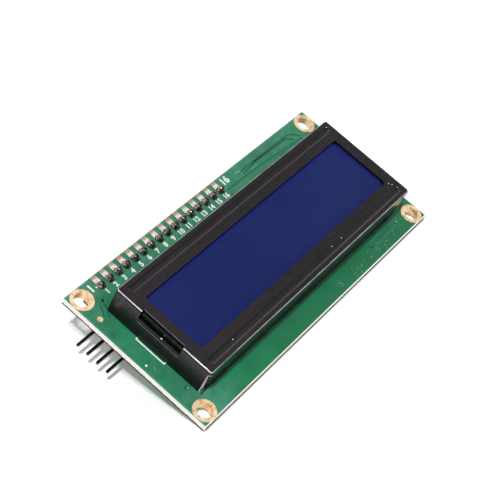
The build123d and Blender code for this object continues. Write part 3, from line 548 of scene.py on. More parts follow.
def notch_edges(look, colour, end_wall, top):
    """Painted light and shade lines round the end wall's notch, and a pale near-corner streak."""
    along, across, height = look.axis("X"), look.axis("Y"), look.axis("Z")
    plug_side = look.times(end_wall, look.fall(along, -34.5, -34.3))
    beside = look.times(look.band(across, *NOTCH_SIDES, 0.08), plug_side)
    # Painted highlight and shade lines on the notch's flanks
    for start, end, tone in NOTCH_LINES:
        colour = look.tint(colour, look.band(height, start, end, 0.03), tone, beside)
    (end_x, _), (near_y, _) = BEZEL_SIDES
    end = look.fall(along, *(end_x + width for width in STREAK_X))
    near = look.fall(across, *(near_y + width for width in STREAK_Y))
    lower = look.fall(height, *(top - drop for drop in STREAK_TOP))
    return look.tint(colour, look.times(end, near), rgb(226, 190, 194), lower)


def black_paint():
    """Baked black paint: fine texture, brown-grey haze, dusty specks, painted highlights on folds."""
    look = Look("black_paint")
    top = box("bezel")[1].z
    height = look.axis("Z")
    haze = look.cloud(3.0, 0.35, 0.7, detail=6.0)
    streak = look.cloud(1.2, 0.35, 0.7, detail=5.0, stretch=(0.12, 1.0, 1.0))
    colour = look.mix(haze, rgb(3, 3, 4), rgb(18, 15, 18))
    colour = look.tint(colour, streak, rgb(28, 20, 26), 0.4)
    # Paler towards the plug end
    colour = look.tint(colour, look.fall(look.axis("X"), *PALE_END_X), rgb(34, 28, 35), 0.7)
    mottle = look.cloud(0.45, 0.46, 0.66, detail=4.0, roughness=0.7)
    colour = look.tint(colour, mottle, rgb(52, 42, 50), 0.45)
    end_wall = look.fall(look.axis("X", normal=True), -0.9, -0.6)
    # Upright faces dark; the end wall paler in its upper part, as painted reflection
    upper = look.times(end_wall, look.ramp(height, 1.5, top - 0.7))
    wall = look.mix(upper, rgb(5, 5, 6), rgb(56, 54, 58))
    colour = look.mix(look.ramp(look.axis("Z", normal=True), 0.5, 0.95), wall, colour)
    outer = look.within(*BEZEL_SIDES, FOLD_WIDTH)
    inward = look.minus(1.0, outer)
    # Painted highlight on inner slopes that face +Y, and painted shade on those that face -Y
    tilt = look.axis("Y", normal=True)
    bright_slope = look.times(look.ramp(tilt, 0.2, 0.45), inward)
    colour = look.tint(colour, bright_slope, rgb(84, 76, 80), 0.5)
    colour = look.tint(colour, look.fall(tilt, -0.45, -0.2), rgb(2, 2, 2), inward)
    # Painted dark band under the end wall's fold
    shade = look.band(height, *(top - drop for drop in DARK_BAND), 0.08)
    colour = look.tint(colour, shade, rgb(2, 2, 2), end_wall)
    colour = notch_edges(look, colour, end_wall, top)
    # Painted highlight line along the folds, broken up by noise, whiter on the end fold
    wear_and_highlight = look.times(look.band(height, *(top - drop for drop in HIGHLIGHT_LINE), 0.04), outer)
    chip = look.cloud(0.7, 0.32, 0.62, 0.45, 1.0, detail=6.0, stretch=(0.2, 0.2, 1.0))
    end_fold = look.ramp(look.size(look.axis("X", normal=True)), 0.15, 0.4)
    painted_highlight = look.mix(end_fold, rgb(180, 172, 174), rgb(236, 232, 232))
    colour = look.tint(colour, wear_and_highlight, painted_highlight, chip)
    dust = look.fall(look.cells(2.6), 0.0, 0.045)
    colour = look.tint(colour, dust, rgb(120, 112, 116), 0.4)
    rough = look.cloud(0.9, 0.3, 0.7, 0.10, 0.19, detail=6.0)
    rough = look.plus(rough, look.times(end_wall, 0.12))
    look.bump(look.noise(1.6, detail=2.0), 0.003, 0.4)
    look.bump(look.noise(0.12, detail=3.0), 0.0006, 0.4)
    return look.finish(Base_Color=colour, Roughness=rough, Specular_IOR_Level=0.2)


def blue_film():
    """Anti-glare polariser over the dark display: navy, bluer near the frame, black at the seal."""
    look = Look("blue_film")
    low, high = box("front_polariser")
    across = look.size(look.minus(look.axis("Y"), (low.y + high.y) / 2))
    along = look.size(look.axis("X"))
    rim = look.most(look.ramp(across, *RIM_ACROSS), look.ramp(along, *RIM_ALONG))
    cloud = look.cloud(14.0, 0.3, 0.7, detail=2.0)
    middle = look.mix(cloud, rgb(20, 32, 86), rgb(25, 36, 90))
    colour = look.tint(middle, rim, rgb(20, 28, 104), 0.6)
    squares = []
    for place, half in zip((along, across), WINDOW_HALVES):
        past = look.most(look.minus(place, half - SEAL_CORNER), 0.0)
        squares.append(look.math("POWER", past, 2.0))
    reach = look.math("SQRT", look.plus(*squares))
    seal = look.ramp(reach, SEAL_CORNER - 0.12, SEAL_CORNER + 0.04)
    look.bump(look.noise(0.08, detail=2.0), 0.0015, 0.4)
    return look.finish(
        Base_Color=look.mix(seal, colour, rgb(6, 6, 10)),
        Roughness=look.cloud(6.0, 0.3, 0.7, 0.42, 0.5),
        Specular_IOR_Level=0.1,
    )


def display_glass():
    """Thin dark glass with a paler ground line on each cut edge."""
    look = Look("display_glass")
    chips = look.cloud(1.4, 0.6, 0.75, stretch=(1.0, 0.4, 1.0))
    edge = look.mix(chips, rgb(12, 15, 15), rgb(66, 72, 72))
    look.bump(look.noise(0.3), 0.01, 0.5)
    return look.finish(
        Base_Color=look.mix(look.level_faces(), edge, rgb(14, 18, 24)),
        Roughness=look.cloud(0.6, 0.3, 0.7, 0.08, 0.2),
        Transmission_Weight=0.15,
        IOR=1.5,
    )


def elastomer():
    """Rubber strip with fine dark stripes across it."""
    look = Look("elastomer")
    stripes = look.ramp(look.waves("X", 60.0), -0.4, 0.4)
    look.bump(look.noise(0.2), 0.01, 0.5)
    return look.finish(
        Base_Color=look.mix(stripes, rgb(190, 186, 180), rgb(32, 30, 30)),
        Roughness=look.cloud(0.5, 0.3, 0.7, 0.5, 0.7),
    )


def diode():
    """White diode package with a yellow resin window."""
    look = Look("diode")
    start = box("backlight_diodes")[0].x
    window = look.fall(look.axis("X"), start, start + 0.15)
    look.bump(look.noise(0.2), 0.004, 0.5)
    return look.finish(
        Base_Color=look.mix(window, rgb(236, 232, 222), rgb(240, 214, 96)),
        Roughness=look.cloud(0.4, 0.3, 0.7, 0.3, 0.45),
    )


def ink():
    """White printing ink, a little thin and uneven."""
    look = Look("white_ink")
    thin = look.cloud(0.35, 0.45, 0.75, detail=6.0)
    look.bump(look.noise(0.15), 0.004, 0.6)
    return look.finish(
        Base_Color=look.mix(thin, rgb(240, 244, 240), rgb(196, 216, 204)),
        Roughness=look.cloud(0.4, 0.3, 0.7, 0.5, 0.7),
    )


def trace_look(name, colour, dark):
    """Mask where it lies over copper, or its shaded flanks, with soft relief."""
    look = Look(name)
    shade = look.cloud(1.5, 0.3, 0.7)
    look.bump(look.noise(0.3, detail=4.0), 0.004, 0.5)
    return look.finish(
        Base_Color=look.mix(shade, rgb(*colour), rgb(*dark)),
        Roughness=look.cloud(0.6, 0.3, 0.7, 0.26, 0.4),
        Specular_IOR_Level=0.3,
    )


# Plastics, films and resin: colour, worn colour, grain, roughness, then relief and subsurface
MOULDED = {
    "dark_film": ((30, 32, 44), (40, 42, 54), 0.3, 0.3),
    "white_film": ((240, 240, 236), (226, 226, 222), 0.2, 0.5),
    "clear_acrylic": ((226, 236, 238), (206, 220, 224), 0.5, 0.12),
    "white_plastic": ((240, 226, 222), (222, 204, 200), 0.3, 0.42, 0.004, 0.15),
    "resin": ((16, 16, 17), (30, 29, 29), 0.8, 0.22, 0.02),
    "chip_black": ((30, 30, 31), (48, 47, 46), 0.08, 0.55),
    "ceramic_tan": ((186, 150, 110), (160, 122, 84), 0.15, 0.5),
    "black_plastic": ((24, 24, 25), (44, 43, 43), 0.12, 0.5),
    "cap_plastic": ((20, 20, 22), (40, 40, 42), 0.15, 0.42),
    "blue_plastic": ((38, 92, 178), (30, 76, 156), 0.2, 0.35),
    "rotor_white": ((232, 228, 214), (210, 204, 186), 0.15, 0.45),
}

# Thin layers of the scene's own pieces: colour and its darker shade
LAYERS = {
    "trace_light": ((38, 120, 88), (28, 110, 78)),
    "trace_dark": ((24, 101, 71), (18, 93, 64)),
    "gap_dark": ((10, 34, 24), (5, 18, 13)),
    "adapter_trace": ((50, 54, 58), (36, 40, 44)),
    "glint": ((170, 206, 188), (120, 176, 150)),
}


def make_looks():
    """Every material slot of the record and every layer of the scene's own, by name."""
    looks = {
        "solder_mask": board_look(
            "solder_mask", "main_board", light_mask=rgb(24, 128, 84), dark_mask=rgb(12, 102, 62),
            edge=rgb(252, 247, 242), edge_foot_shade=rgb(20, 15, 15), bore_shade=rgb(16, 30, 22), films_and_painted_light=True,
        ),
        "adapter_mask": board_look(
            "adapter_mask", "adapter_board", light_mask=rgb(24, 27, 30), dark_mask=rgb(12, 14, 16),
            edge=rgb(206, 194, 164), edge_foot_shade=rgb(96, 84, 66), bore_shade=rgb(30, 28, 22),
        ),
        "gold": metal_look("gold", rgb(242, 214, 172), rgb(200, 160, 112), 1.1, 0.42, metallic=0.7),
        "solder": metal_look("solder", rgb(168, 154, 152), rgb(40, 33, 34), 0.45, 0.24, relief=0.03),
        "clip_metal": metal_look("clip_metal", rgb(226, 196, 138), rgb(176, 140, 88), 0.6, 0.28),
        "tin": tinned_look(),
        "dark_pin": pin_look(),
        "black_paint": black_paint(),
        "blue_film": blue_film(),
        "display_glass": display_glass(),
        "diode": diode(),
        "elastomer": elastomer(),
        "white_ink": ink(),
    }
    for name, values in MOULDED.items():
        looks[name] = moulded_look(name, *values)
    for name, colours in LAYERS.items():
        looks[name] = trace_look(name, *colours)
    return looks


def dress_nodes(frame, looks):
    """Gives each CAD node the material of its own slot."""
    for node in frame["nodes"].values():
        for holder in node.material_slots:
            holder.material = looks[holder.material.name.split(".")[0]]


def to_mesh(sculpt, name):
    """Ends a sculpt and returns it as a mesh, brought from millimetres to metres."""
    mesh = bpy.data.meshes.new(name)
    sculpt.to_mesh(mesh)
    sculpt.free()
    mesh.transform(Matrix.Scale(MM, 4))
    return mesh


def put(name, content):
    """Links a new object into the scene."""
    holder = bpy.data.objects.new(name, content)
    bpy.context.scene.collection.objects.link(holder)
    return holder


def piece(name, sculpt, material, smooth=False):
    """Ends a sculpt as one dressed piece that rides on the module."""
    bmesh.ops.recalc_face_normals(sculpt, faces=sculpt.faces)
    mesh = to_mesh(sculpt, name)
    mesh.polygons.foreach_set("use_smooth", [smooth] * len(mesh.polygons))
    mesh.materials.append(material)
    made = put(name, mesh)
    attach(made, "module")
    return made


def solid_places(node, level):
    """The centres of a CAD node's separate solids, at a level."""
    sculpt = bmesh.new()
    sculpt.from_mesh(frame["nodes"][node].data)
    bmesh.ops.remove_doubles(sculpt, verts=sculpt.verts, dist=1e-6)
    left = set(sculpt.verts)
    places = []
    while left:
        group = [left.pop()]
        for reached in group:
            for edge in reached.link_edges:
                vertex = edge.other_vert(reached)
                if vertex in left:
                    left.remove(vertex)
                    group.append(vertex)
        xs = [vertex.co.x / MM for vertex in group]
        ys = [vertex.co.y / MM for vertex in group]
        places.append(Vector(((min(xs) + max(xs)) / 2, (min(ys) + max(ys)) / 2, level)))
    sculpt.free()
    return sorted(places, key=lambda place: (round(place.x, 2), place.y))


def turns(sides):
    """The angles of a round thing's sides."""
    return [2 * math.pi * side / sides for side in range(sides)]


def corner(sculpt, centre, radius, turn, level):
    """A vertex at a radius and an angle round a centre."""
    x = centre[0] + radius * math.cos(turn)
    y = centre[1] + radius * math.sin(turn)
    return sculpt.verts.new((x, y, level))


def bridge(sculpt, rings):
    """Faces between each closed ring of vertices and the next."""
    for low, high in zip(rings, rings[1:]):
        for side in range(len(low)):
            after = (side + 1) % len(low)
            sculpt.faces.new((low[side], low[after], high[after], high[side]))


def mound(sculpt, place, way, base, neck, height, seed):
    """One solder joint that flows from a pad along a square pin, a little uneven."""
    tall = noise.noise(Vector((seed * HEIGHT_SEED_STEP, 0.0, HEIGHT_SEED_PLACE)))
    height *= 1 + JOINT_HEIGHT_UNEVEN * tall
    rings = []
    for row in range(JOINT_RINGS):
        rise = row / (JOINT_RINGS - 1)
        spread = neck + (base - neck) * (1 - rise) ** JOINT_SWEEP
        ring = []
        for turn in turns(JOINT_SIDES):
            wobble = noise.noise(Vector((math.cos(turn), math.sin(turn), seed * SEED_STEP + rise)))
            square = 1 + JOINT_SQUARENESS * rise * (1 - math.cos(4 * turn)) / 2
            radius = spread * square * (1 + JOINT_UNEVEN * wobble * (JOINT_FOOT_UNEVEN - rise))
            lift = height * rise ** JOINT_RISE * (1 + JOINT_TOP_UNEVEN * wobble * rise)
            ring.append(corner(sculpt, place, radius, turn, place.z + way * lift))
        rings.append(ring)
    bridge(sculpt, rings)
    sculpt.faces.new(rings[0])
    sculpt.faces.new(rings[-1])


def solder_joints(looks):
    """Flowing joints in place of the CAD nodes' plain ones, on both boards."""
    adapter_foot, adapter_top = (end.z for end in box("adapter_board"))
    stands = {
        "front": ("link_pins", box("edge_pads")[1].z, 1),
        "adapter": ("link_pins", adapter_foot, -1),
        "plug": ("plug_solder", adapter_top, 1),
        "jumper": ("jumper_solder", adapter_top, 1),
        "trimmer": ("trimmer_solder", adapter_top, 1),
        "backlight": ("backlight_solder", box("main_board")[0].z, -1),
    }
    for kind, (pins, level, way) in stands.items():
        name, node = f"{kind}_joints", f"{kind}_solder"
        sculpt = bmesh.new()
        for count, place in enumerate(solid_places(pins, level)):
            mound(sculpt, place, way, *JOINT_SIZES[kind], seed=count + len(name))
        made = piece(name, sculpt, looks["solder"], smooth=True)
        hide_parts(node)


def dome(name, node, material, seed):
    """A smooth mound of resin in place of a CAD cone, on the back of the main board."""
    low, high = box(node)
    centre = (low + high) / 2
    radius = (high.x - low.x) / 2
    height = (high.z - low.z) * DOME_HEIGHT_SHARE
    sculpt = bmesh.new()
    rings = []
    for row in range(DOME_RINGS):
        reach = 1 - row / DOME_RINGS
        level = high.z - height * (1 - reach ** DOME_FULLNESS)
        ring = []
        for turn in turns(DOME_SIDES):
            wobble = noise.noise(Vector((math.cos(turn), math.sin(turn), seed)) * DOME_WAVES)
            spread = radius * reach * (DOME_WIDTH_SHARE - DOME_UNEVEN * abs(wobble))
            ring.append(corner(sculpt, centre, spread, turn, level))
        rings.append(ring)
    bridge(sculpt, rings)
    tip = sculpt.verts.new((centre.x, centre.y, high.z - height))
    last = rings[-1]
    for first, second in zip(last, last[1:] + last[:1]):
        sculpt.faces.new((first, second, tip))
    sculpt.faces.new(rings[0])
    made = piece(name, sculpt, material, smooth=True)
    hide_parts(node)


def ribbon(sculpt, points, width, level, thickness):
    """A flat strip along a line of points on a board's face, with mitred corners."""
    loops = []
    last = len(points) - 1
    top = level + thickness
    for index, point in enumerate(points):
        here = Vector(point)
        before = (here - Vector(points[index - 1])).normalized() if index > 0 else None
        after = (Vector(points[index + 1]) - here).normalized() if index < last else None
        along = ((before or after) + (after or before)).normalized()
        mitre = max(MITRE_LIMIT, along.dot(after or before))
        across = Vector((-along.y, along.x)) * width / 2 / mitre
        left, right = here + across, here - across
        corners = ((left, level), (left, top), (right, top), (right, level))
        loops.append([sculpt.verts.new((spot.x, spot.y, height)) for spot, height in corners])
    bridge(sculpt, loops)
    sculpt.faces.new(loops[0])
    sculpt.faces.new(loops[-1])


def disc(sculpt, place, radius, level, thickness, inner=0.0, sides=28):
    """A thin round dot, or a ring where it has an inner radius."""
    def circle(reach, height):
        return [corner(sculpt, place, reach, turn, height) for turn in turns(sides)]

    top = level + thickness
    low, high = circle(radius, level), circle(radius, top)
    if inner:
        bridge(sculpt, [low, high, circle(inner, top), circle(inner, level), low])
    else:
        bridge(sculpt, [low, high])
        sculpt.faces.new(low)
        sculpt.faces.new(high)


def letter(sculpt, text, place, height, level, below=False):
    """Plain figures in ink, centred on a point of a board's face. Those below read from there."""
    curve = bpy.data.curves.new("figures", "FONT")
    curve.body = text
    curve.size = height / FIGURE_SHARE * MM
    curve.align_x = "CENTER"
    curve.align_y = "CENTER"
    curve.extrude = INK_THICKNESS / 2 * MM
    curve.offset = LETTER_WEIGHT * height * MM
    curve.resolution_u = 3
    holder = bpy.data.objects.new("figures", curve)
    mesh = bpy.data.meshes.new_from_object(holder)
    turn = Matrix.Rotation(math.pi if below else 0.0, 4, "Y")
    middle = level + (-INK_THICKNESS if below else INK_THICKNESS) / 2
    shift = Matrix.Translation((place[0], place[1], middle))
    mesh.transform(shift @ turn @ Matrix.Scale(1 / MM, 4))
    sculpt.from_mesh(mesh)
    bpy.data.objects.remove(holder)
    bpy.data.curves.remove(curve)
    bpy.data.meshes.remove(mesh)


def outline(sculpt, low, high, margin_x, margin_y, level):
    """A printed rectangle that keeps a margin round two corners, on a downward face."""
    left, near = low[0] - margin_x, low[1] - margin_y
    right, far = high[0] + margin_x, high[1] + margin_y
    corners = [(left, near), (right, near), (right, far), (left, far)]
    for start, end in zip(corners, corners[1:] + corners[:1]):
        ribbon(sculpt, [start, end], PRINT_LINE, level, -INK_THICKNESS)


def track(copper, points, level):
    """One copper line under the mask of a downward face."""
    ribbon(copper, points, BACK_TRACE_WIDTH, level, -TRACE_THICKNESS)


def plated(rims, places, radius, hole, level, way=-1):
    """A tinned ring at each place, on a face that looks down or, with way 1, up."""
    for place in places:
        disc(rims, place, radius, level, way * 2 * TRACE_THICKNESS, inner=hole)


def board_print(looks):
    """White marks on the main board: pin numbers, end numbers, a bracket and two dots."""
    face = box("main_board")[1].z
    sculpt = bmesh.new()
    pins = solid_places("link_pins", face)
    for number, pin in enumerate(pins, 1):
        letter(sculpt, str(number), (pin.x, LABEL_Y), LABEL_HEIGHT, face)
    first, last = pins[0].xy, pins[-1].xy
    for text, pin, shift in (("1", first, FIRST_LABEL_SHIFT), ("16", last, LAST_LABEL_SHIFT)):
        letter(sculpt, text, pin + Vector(shift), END_LABEL_HEIGHT, face)
    disc(sculpt, first + Vector(PIN_DOT_SHIFT), PIN_DOT_RADIUS, face, INK_THICKNESS)
    disc(sculpt, END_DOT, END_DOT_RADIUS, face, INK_THICKNESS)
    top, foot = BRACKET_ENDS
    inner = BRACKET_X + BRACKET_RETURN
    bracket = [(inner, top), (BRACKET_X, top), (BRACKET_X, foot), (inner, foot)]
    ribbon(sculpt, bracket, INK_LINE, face, INK_THICKNESS)
    piece("board_print", sculpt, looks["white_ink"])


def front_traces(looks):
    """Copper lines and vias under the mask, each with a lit and a shaded side, and some glints."""
    face = box("main_board")[1].z
    shade, lit, glints = bmesh.new(), bmesh.new(), bmesh.new()
    for points in FRONT_TRACES:
        shifted = [Vector(point) + TRACE_OFFSET for point in points]
        ribbon(shade, points, TRACE_WIDTH, face, TRACE_THICKNESS)
        ribbon(lit, shifted, TRACE_WIDTH, face, TRACE_THICKNESS)
    radius, hole, drop = FRONT_VIA_RADII
    for place in FRONT_VIAS:
        disc(shade, place, radius, face, TRACE_THICKNESS, inner=hole)
        disc(glints, place, drop, face, 2 * TRACE_THICKNESS)
    # Random painted glints
    random_glints = []
    for _ in range(RANDOM_GLINT_COUNT):
        random_glints.append([random.uniform(*limits) for limits in RANDOM_GLINT_LIMITS] + [RANDOM_GLINT_WIDTH])
    for x, y, length, slope, width in GLINTS + random_glints:
        middle, step = Vector((x, y)), Vector((length, length * slope)) / 2
        ribbon(glints, [middle - step, middle + step], width, face, 2 * TRACE_THICKNESS)
    piece("trace_shades", shade, looks["trace_dark"])
    piece("trace_lights", lit, looks["trace_light"])
    piece("trace_glints", glints, looks["glint"])


def chip_fan(copper, vias, hub, row_y, level):
    """Copper from a chip's mound to a staggered row of vias."""
    x, y, radius = hub
    way = 1 if row_y > y else -1
    for index in range(FAN_COUNT):
        step = index - (FAN_COUNT - 1) / 2
        turn = FAN_TURN * step
        start = (x + radius * math.sin(turn), y + way * radius * math.cos(turn))
        column = x + FAN_PITCH * step
        bend = (column, y + way * (radius + FAN_REACH))
        end = (column, row_y - way * (index % FAN_STAGGER))
        track(copper, [start, bend, end], level)
        plated(vias, [end], VIA_RADIUS, VIA_RADIUS / 2, level)


def main_board_back(looks):
    """Copper fans, vias and printed rings on the back of the main board."""
    level = box("main_board")[0].z
    copper, vias, marks = bmesh.new(), bmesh.new(), bmesh.new()
    hubs = []
    for node, row_y in zip(("controller_blob", "segment_blob"), FAN_ROWS):
        low, high = box(node)
        radius = (high.x - low.x) / 2
        hub = (low.x + high.x) / 2, (low.y + high.y) / 2, radius
        hubs.append(hub)
        chip_fan(copper, vias, hub, row_y, level)
        rim = radius + MOUND_MARGIN
        disc(marks, hub, rim, level, -INK_THICKNESS, inner=rim - PRINT_LINE, sides=64)
    (left_x, left_y, left_radius), (right_x, right_y, right_radius) = hubs
    start_x = left_x + left_radius
    end_x = right_x - right_radius
    for index in range(BUS_COUNT):
        shift = BUS_PITCH * (index - BUS_COUNT / 2)
        start_y = left_y + shift
        end_y = right_y + shift - BUS_DROP
        track(copper, [
            (start_x - BUS_START, start_y), (start_x + BUS_STRAIGHT, start_y),
            (end_x - BUS_STRAIGHT, end_y), (end_x + BUS_START, end_y),
        ], level)
    column, far_column = RESISTOR_COLUMNS
    label_x, label_height = RESISTOR_LABEL
    resistors = sorted(solid_places("board_resistors", level), key=lambda spot: spot.y)
    for index, (x, y, _) in enumerate(resistors):
        start_y = right_y + RESISTOR_PITCH * (index - len(resistors) // 2)
        start = (right_x + right_radius - RESISTOR_START, start_y)
        track(copper, [start, (column, y), (x - RESISTOR_HALF, y)], level)
        track(copper, [(x + RESISTOR_HALF, y), (far_column, y)], level)
        letter(marks, str(index + 1), (x + label_x, y), label_height, level, below=True)
    outline(marks, *box("board_resistor_ends"), RESISTOR_MARGIN, RESISTOR_MARGIN, level)
    plated(vias, solid_places("backlight_solder", level), *LEAD_RING, level)
    piece("back_copper", copper, looks["trace_light"])
    piece("back_vias", vias, looks["tin"])
    piece("back_print", marks, looks["white_ink"])


def adapter_tracks(copper, marks, pins, level):
    """Copper from the expander's upper leads and from the plug, and the plug's numbers."""
    leave, bend_y, bend_step, row_y, stop = EXPANDER_ROUTE
    leads = solid_places("expander_leads", level)
    middle = sum(place.y for place in leads) / len(leads)
    upper = [place for place in leads if place.y > middle]
    for index, (x, y, _) in enumerate(upper):
        pin = pins[index + FIRST_EXPANDER_PIN]
        track(copper, [
            (x, y + leave), (x, bend_y + bend_step * index), (pin.x, row_y), (pin.x, pin.y - stop),
        ], level)
    leave, first_bend, second_bend, end = PLUG_ROUTE
    fan_y, plug_y, closing = PLUG_FAN
    label_x, label_y, label_height = PLUG_LABEL
    plugs = sorted(solid_places("plug_solder", level), key=lambda spot: -spot.y)
    for number, (x, y, _) in enumerate(plugs, 1):
        inner_y = fan_y + (y - plug_y) * closing
        track(copper, [(x + leave, y), (first_bend, y), (second_bend, inner_y), (end, inner_y)], level)
        letter(marks, str(number), (x + label_x, y + label_y), label_height, level, below=True)


def adapter_back(looks):
    """Pads, copper and print on the adapter's part side."""
    level, top = (end.z for end in box("adapter_board"))
    copper, rims, marks = bmesh.new(), bmesh.new(), bmesh.new()
    pins = solid_places("link_pins", level)
    plated(rims, pins, *JOINT_RING, level)
    for node in ("plug_solder", "jumper_solder", "trimmer_solder"):
        places = solid_places(node, level)
        plated(rims, places, *PLUG_RING, level)
        plated(rims, places, *JOINT_RING, top, way=1)
    adapter_tracks(copper, marks, pins, level)
    for node in ("trimmer_body", "transistor_legs", "power_lamp_ends"):
        outline(marks, *box(node), ADAPTER_MARGIN, ADAPTER_MARGIN, level)
    for node in ("adapter_resistor_body", "adapter_capacitor_body"):
        for place in solid_places(node, level):
            outline(marks, place, place, *SMALL_PART_HALVES, level)
    low, high = box("expander_body")
    for x in (low.x - ADAPTER_MARGIN, high.x + ADAPTER_MARGIN):
        ribbon(marks, [(x, low.y), (x, high.y)], PRINT_LINE, level, -INK_THICKNESS)
    dot_x, dot_y, dot_radius = CHIP_DOT
    disc(marks, (low.x + dot_x, low.y + dot_y), dot_radius, level, -INK_THICKNESS)
    label_y, label_height = ADAPTER_LABEL
    for pin, text in ((pins[0], "1"), (pins[-1], "16")):
        letter(marks, text, (pin.x, pin.y + label_y), label_height, level, below=True)
    piece("adapter_copper", copper, looks["adapter_trace"])
    piece("adapter_rims", rims, looks["tin"])
    piece("adapter_print", marks, looks["white_ink"])


def wall_foot(looks):
    """Ragged painted shadow at the near wall's foot, painted shade in lug slots and a glint in the
    notch.
    """
    face = box("main_board")[1].z
    (start_x, _), (near_y, far_y) = BEZEL_SIDES
    line, slot_shade, glint = bmesh.new(), bmesh.new(), bmesh.new()
    # Painted shadow line along the near wall's foot
    points = []
    for step in range(FOOT_LINE_POINTS):
        shake = random.uniform(-FOOT_LINE_SHAKE, FOOT_LINE_SHAKE)
        points.append((start_x + FOOT_LINE_STEP * step, FOOT_LINE_Y + shake))
    ribbon(line, points, FOOT_LINE_WIDTH, face, TRACE_THICKNESS)
    # Dark strips of painted shade in the lug slots
    slot_shade_foot = face - SLOT_SHADE_DEPTH
    for y, slots in ((near_y - SLOT_FROM_WALL, NEAR_SLOTS), (far_y + SLOT_FROM_WALL, FAR_SLOTS)):
        for x, length in slots:
            half = length / 2 - SLOT_SHADE_INSET
            ribbon(slot_shade, [(x - half, y), (x + half, y)], SLOT_SHADE_WIDTH, slot_shade_foot, SLOT_SHADE_DEPTH / 2)
    # Painted glint in the notch
    disc(glint, NOTCH_GLINT, GLINT_RADIUS, GLINT_LEVEL, TRACE_THICKNESS)
    piece("wall_foot_shade", line, looks["gap_dark"])
    piece("lug_slot_shade", slot_shade, looks["gap_dark"])
    piece("notch_glint", glint, looks["white_ink"])


def dust(looks):
    """Pale specks on the bezel's face: dust, and painted highlights at the beads' ends."""
    foot = box("bezel")[1].z - SPECK_SINK
    sculpt = bmesh.new()
    for place in BEZEL_SPECKS:
        disc(sculpt, place, SPECK_RADIUS, foot, 2 * SPECK_SINK, sides=10)
    piece("bezel_specks", sculpt, looks["white_ink"])


def camera():
    """A camera at the photograph's angle, aimed at the middle of the board."""
    data = bpy.data.cameras.new("camera")
    data.lens = CAMERA_LENS
    data.sensor_width = SENSOR_WIDTH
    data.clip_start = CLIP_START
    data.clip_end = CLIP_END
    azimuth, elevation = math.radians(CAMERA_AZIMUTH), math.radians(CAMERA_ELEVATION)
    flat = math.cos(elevation)
    forward = Vector((math.sin(azimuth) * flat, math.cos(azimuth) * flat, -math.sin(elevation)))
    roll = Euler((0.0, 0.0, math.radians(CAMERA_ROLL))).to_quaternion()
    holder = put("camera", data)
    holder.rotation_euler = (forward.to_track_quat("-Z", "Y") @ roll).to_euler()
    holder.location = (Vector(CAMERA_AIM) - forward * CAMERA_DISTANCE) * MM
    bpy.context.scene.camera = holder


def background(nodes, white, plain):
    """White where the camera, gloss or glass sees it, and a plain level as light."""
    path = nodes.node("ShaderNodeLightPath")
    seen = path.outputs["Is Camera Ray"]
    for ray in ("Is Glossy Ray", "Is Transmission Ray"):
        seen = nodes.most(seen, path.outputs[ray])
    return nodes.remap(seen, 0.0, 1.0, plain, white)


def lights():
    """The four lamps, in a white surround."""
    for name, (direction, angle, level) in LAMPS.items():
        sun = bpy.data.lights.new(name, "SUN")
        sun.angle = math.radians(angle)
        sun.energy = level * math.pi
        put(name, sun).rotation_euler = Vector(direction).to_track_quat("-Z", "Y").to_euler()
    world = bpy.data.worlds.new("studio")
    world.use_nodes = True
    nodes = Nodes(world.node_tree)
    surround = nodes.tree.nodes["Background"]
    nodes.join(grey(1.0), surround.inputs["Color"])
    nodes.join(background(nodes, 1.0, AMBIENT_LEVEL), surround.inputs["Strength"])
    bpy.context.scene.world = world


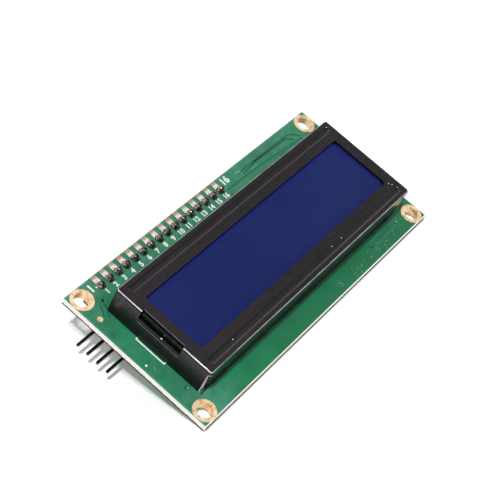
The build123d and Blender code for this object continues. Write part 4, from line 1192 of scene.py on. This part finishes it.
def floor_look():
    """Pale floor that keeps shadows, and can be seen through from below."""
    look = Look("floor")
    # Painted light on the floor, growing along Y
    lift = look.remap(look.axis("Y"), *FLOOR_LIFT_Y, *FLOOR_LIFT)
    clear = look.node("ShaderNodeBsdfTransparent")
    choose = look.node("ShaderNodeMixShader")
    geometry = look.node("ShaderNodeNewGeometry")
    look.join(geometry.outputs["Backfacing"], choose.inputs[0])
    look.join(look.shader.outputs[0], choose.inputs[1])
    look.join(clear.outputs[0], choose.inputs[2])
    look.join(choose.outputs[0], look.tree.nodes["Material Output"].inputs["Surface"])
    return look.finish(
        Base_Color=grey(FLOOR_WHITE),
        Roughness=1.0,
        Specular_IOR_Level=0.0,
        Emission_Color=grey(1.0),
        Emission_Strength=background(look, lift, 0.0),
    )


def floor():
    """Level in front, sloping down under the module to the trimmer, and level behind.

    It takes the module's shadow and casts none, so the lamp from below reaches the underside.
    """
    board_low = box("main_board")[0]
    trimmer_low = box("trimmer_body")[0]
    crest = board_low.z - FLOOR_GAP
    foot = trimmer_low.z - FLOOR_GAP
    profile = [(-FLOOR_REACH, crest), (board_low.y, crest), (trimmer_low.y, foot), (FLOOR_REACH, foot)]
    sculpt = bmesh.new()
    rows = [[sculpt.verts.new((x, y, z)) for x in (-FLOOR_REACH, FLOOR_REACH)] for y, z in profile]
    for near, far in zip(rows, rows[1:]):
        sculpt.faces.new((near[0], near[1], far[1], far[0]))
    mesh = to_mesh(sculpt, "floor")
    mesh.materials.append(floor_look())
    holder = put("floor", mesh)
    holder.visible_shadow = False


random.seed(RANDOM_SEED)
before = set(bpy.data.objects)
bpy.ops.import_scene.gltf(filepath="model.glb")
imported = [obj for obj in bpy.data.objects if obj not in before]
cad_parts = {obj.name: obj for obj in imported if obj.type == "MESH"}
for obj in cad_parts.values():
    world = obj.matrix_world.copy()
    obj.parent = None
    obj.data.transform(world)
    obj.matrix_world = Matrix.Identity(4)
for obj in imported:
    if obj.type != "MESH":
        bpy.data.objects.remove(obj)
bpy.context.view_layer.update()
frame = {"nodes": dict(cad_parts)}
bpy.context.scene.view_settings.view_transform = "Standard"

looks = make_looks()
dress_nodes(frame, looks)
solder_joints(looks)
dome("controller_dome", "controller_blob", looks["resin"], seed=1.7)
dome("segment_dome", "segment_blob", looks["resin"], seed=8.3)
board_print(looks)
front_traces(looks)
main_board_back(looks)
adapter_back(looks)
wall_foot(looks)
dust(looks)
floor()
lights()
camera()
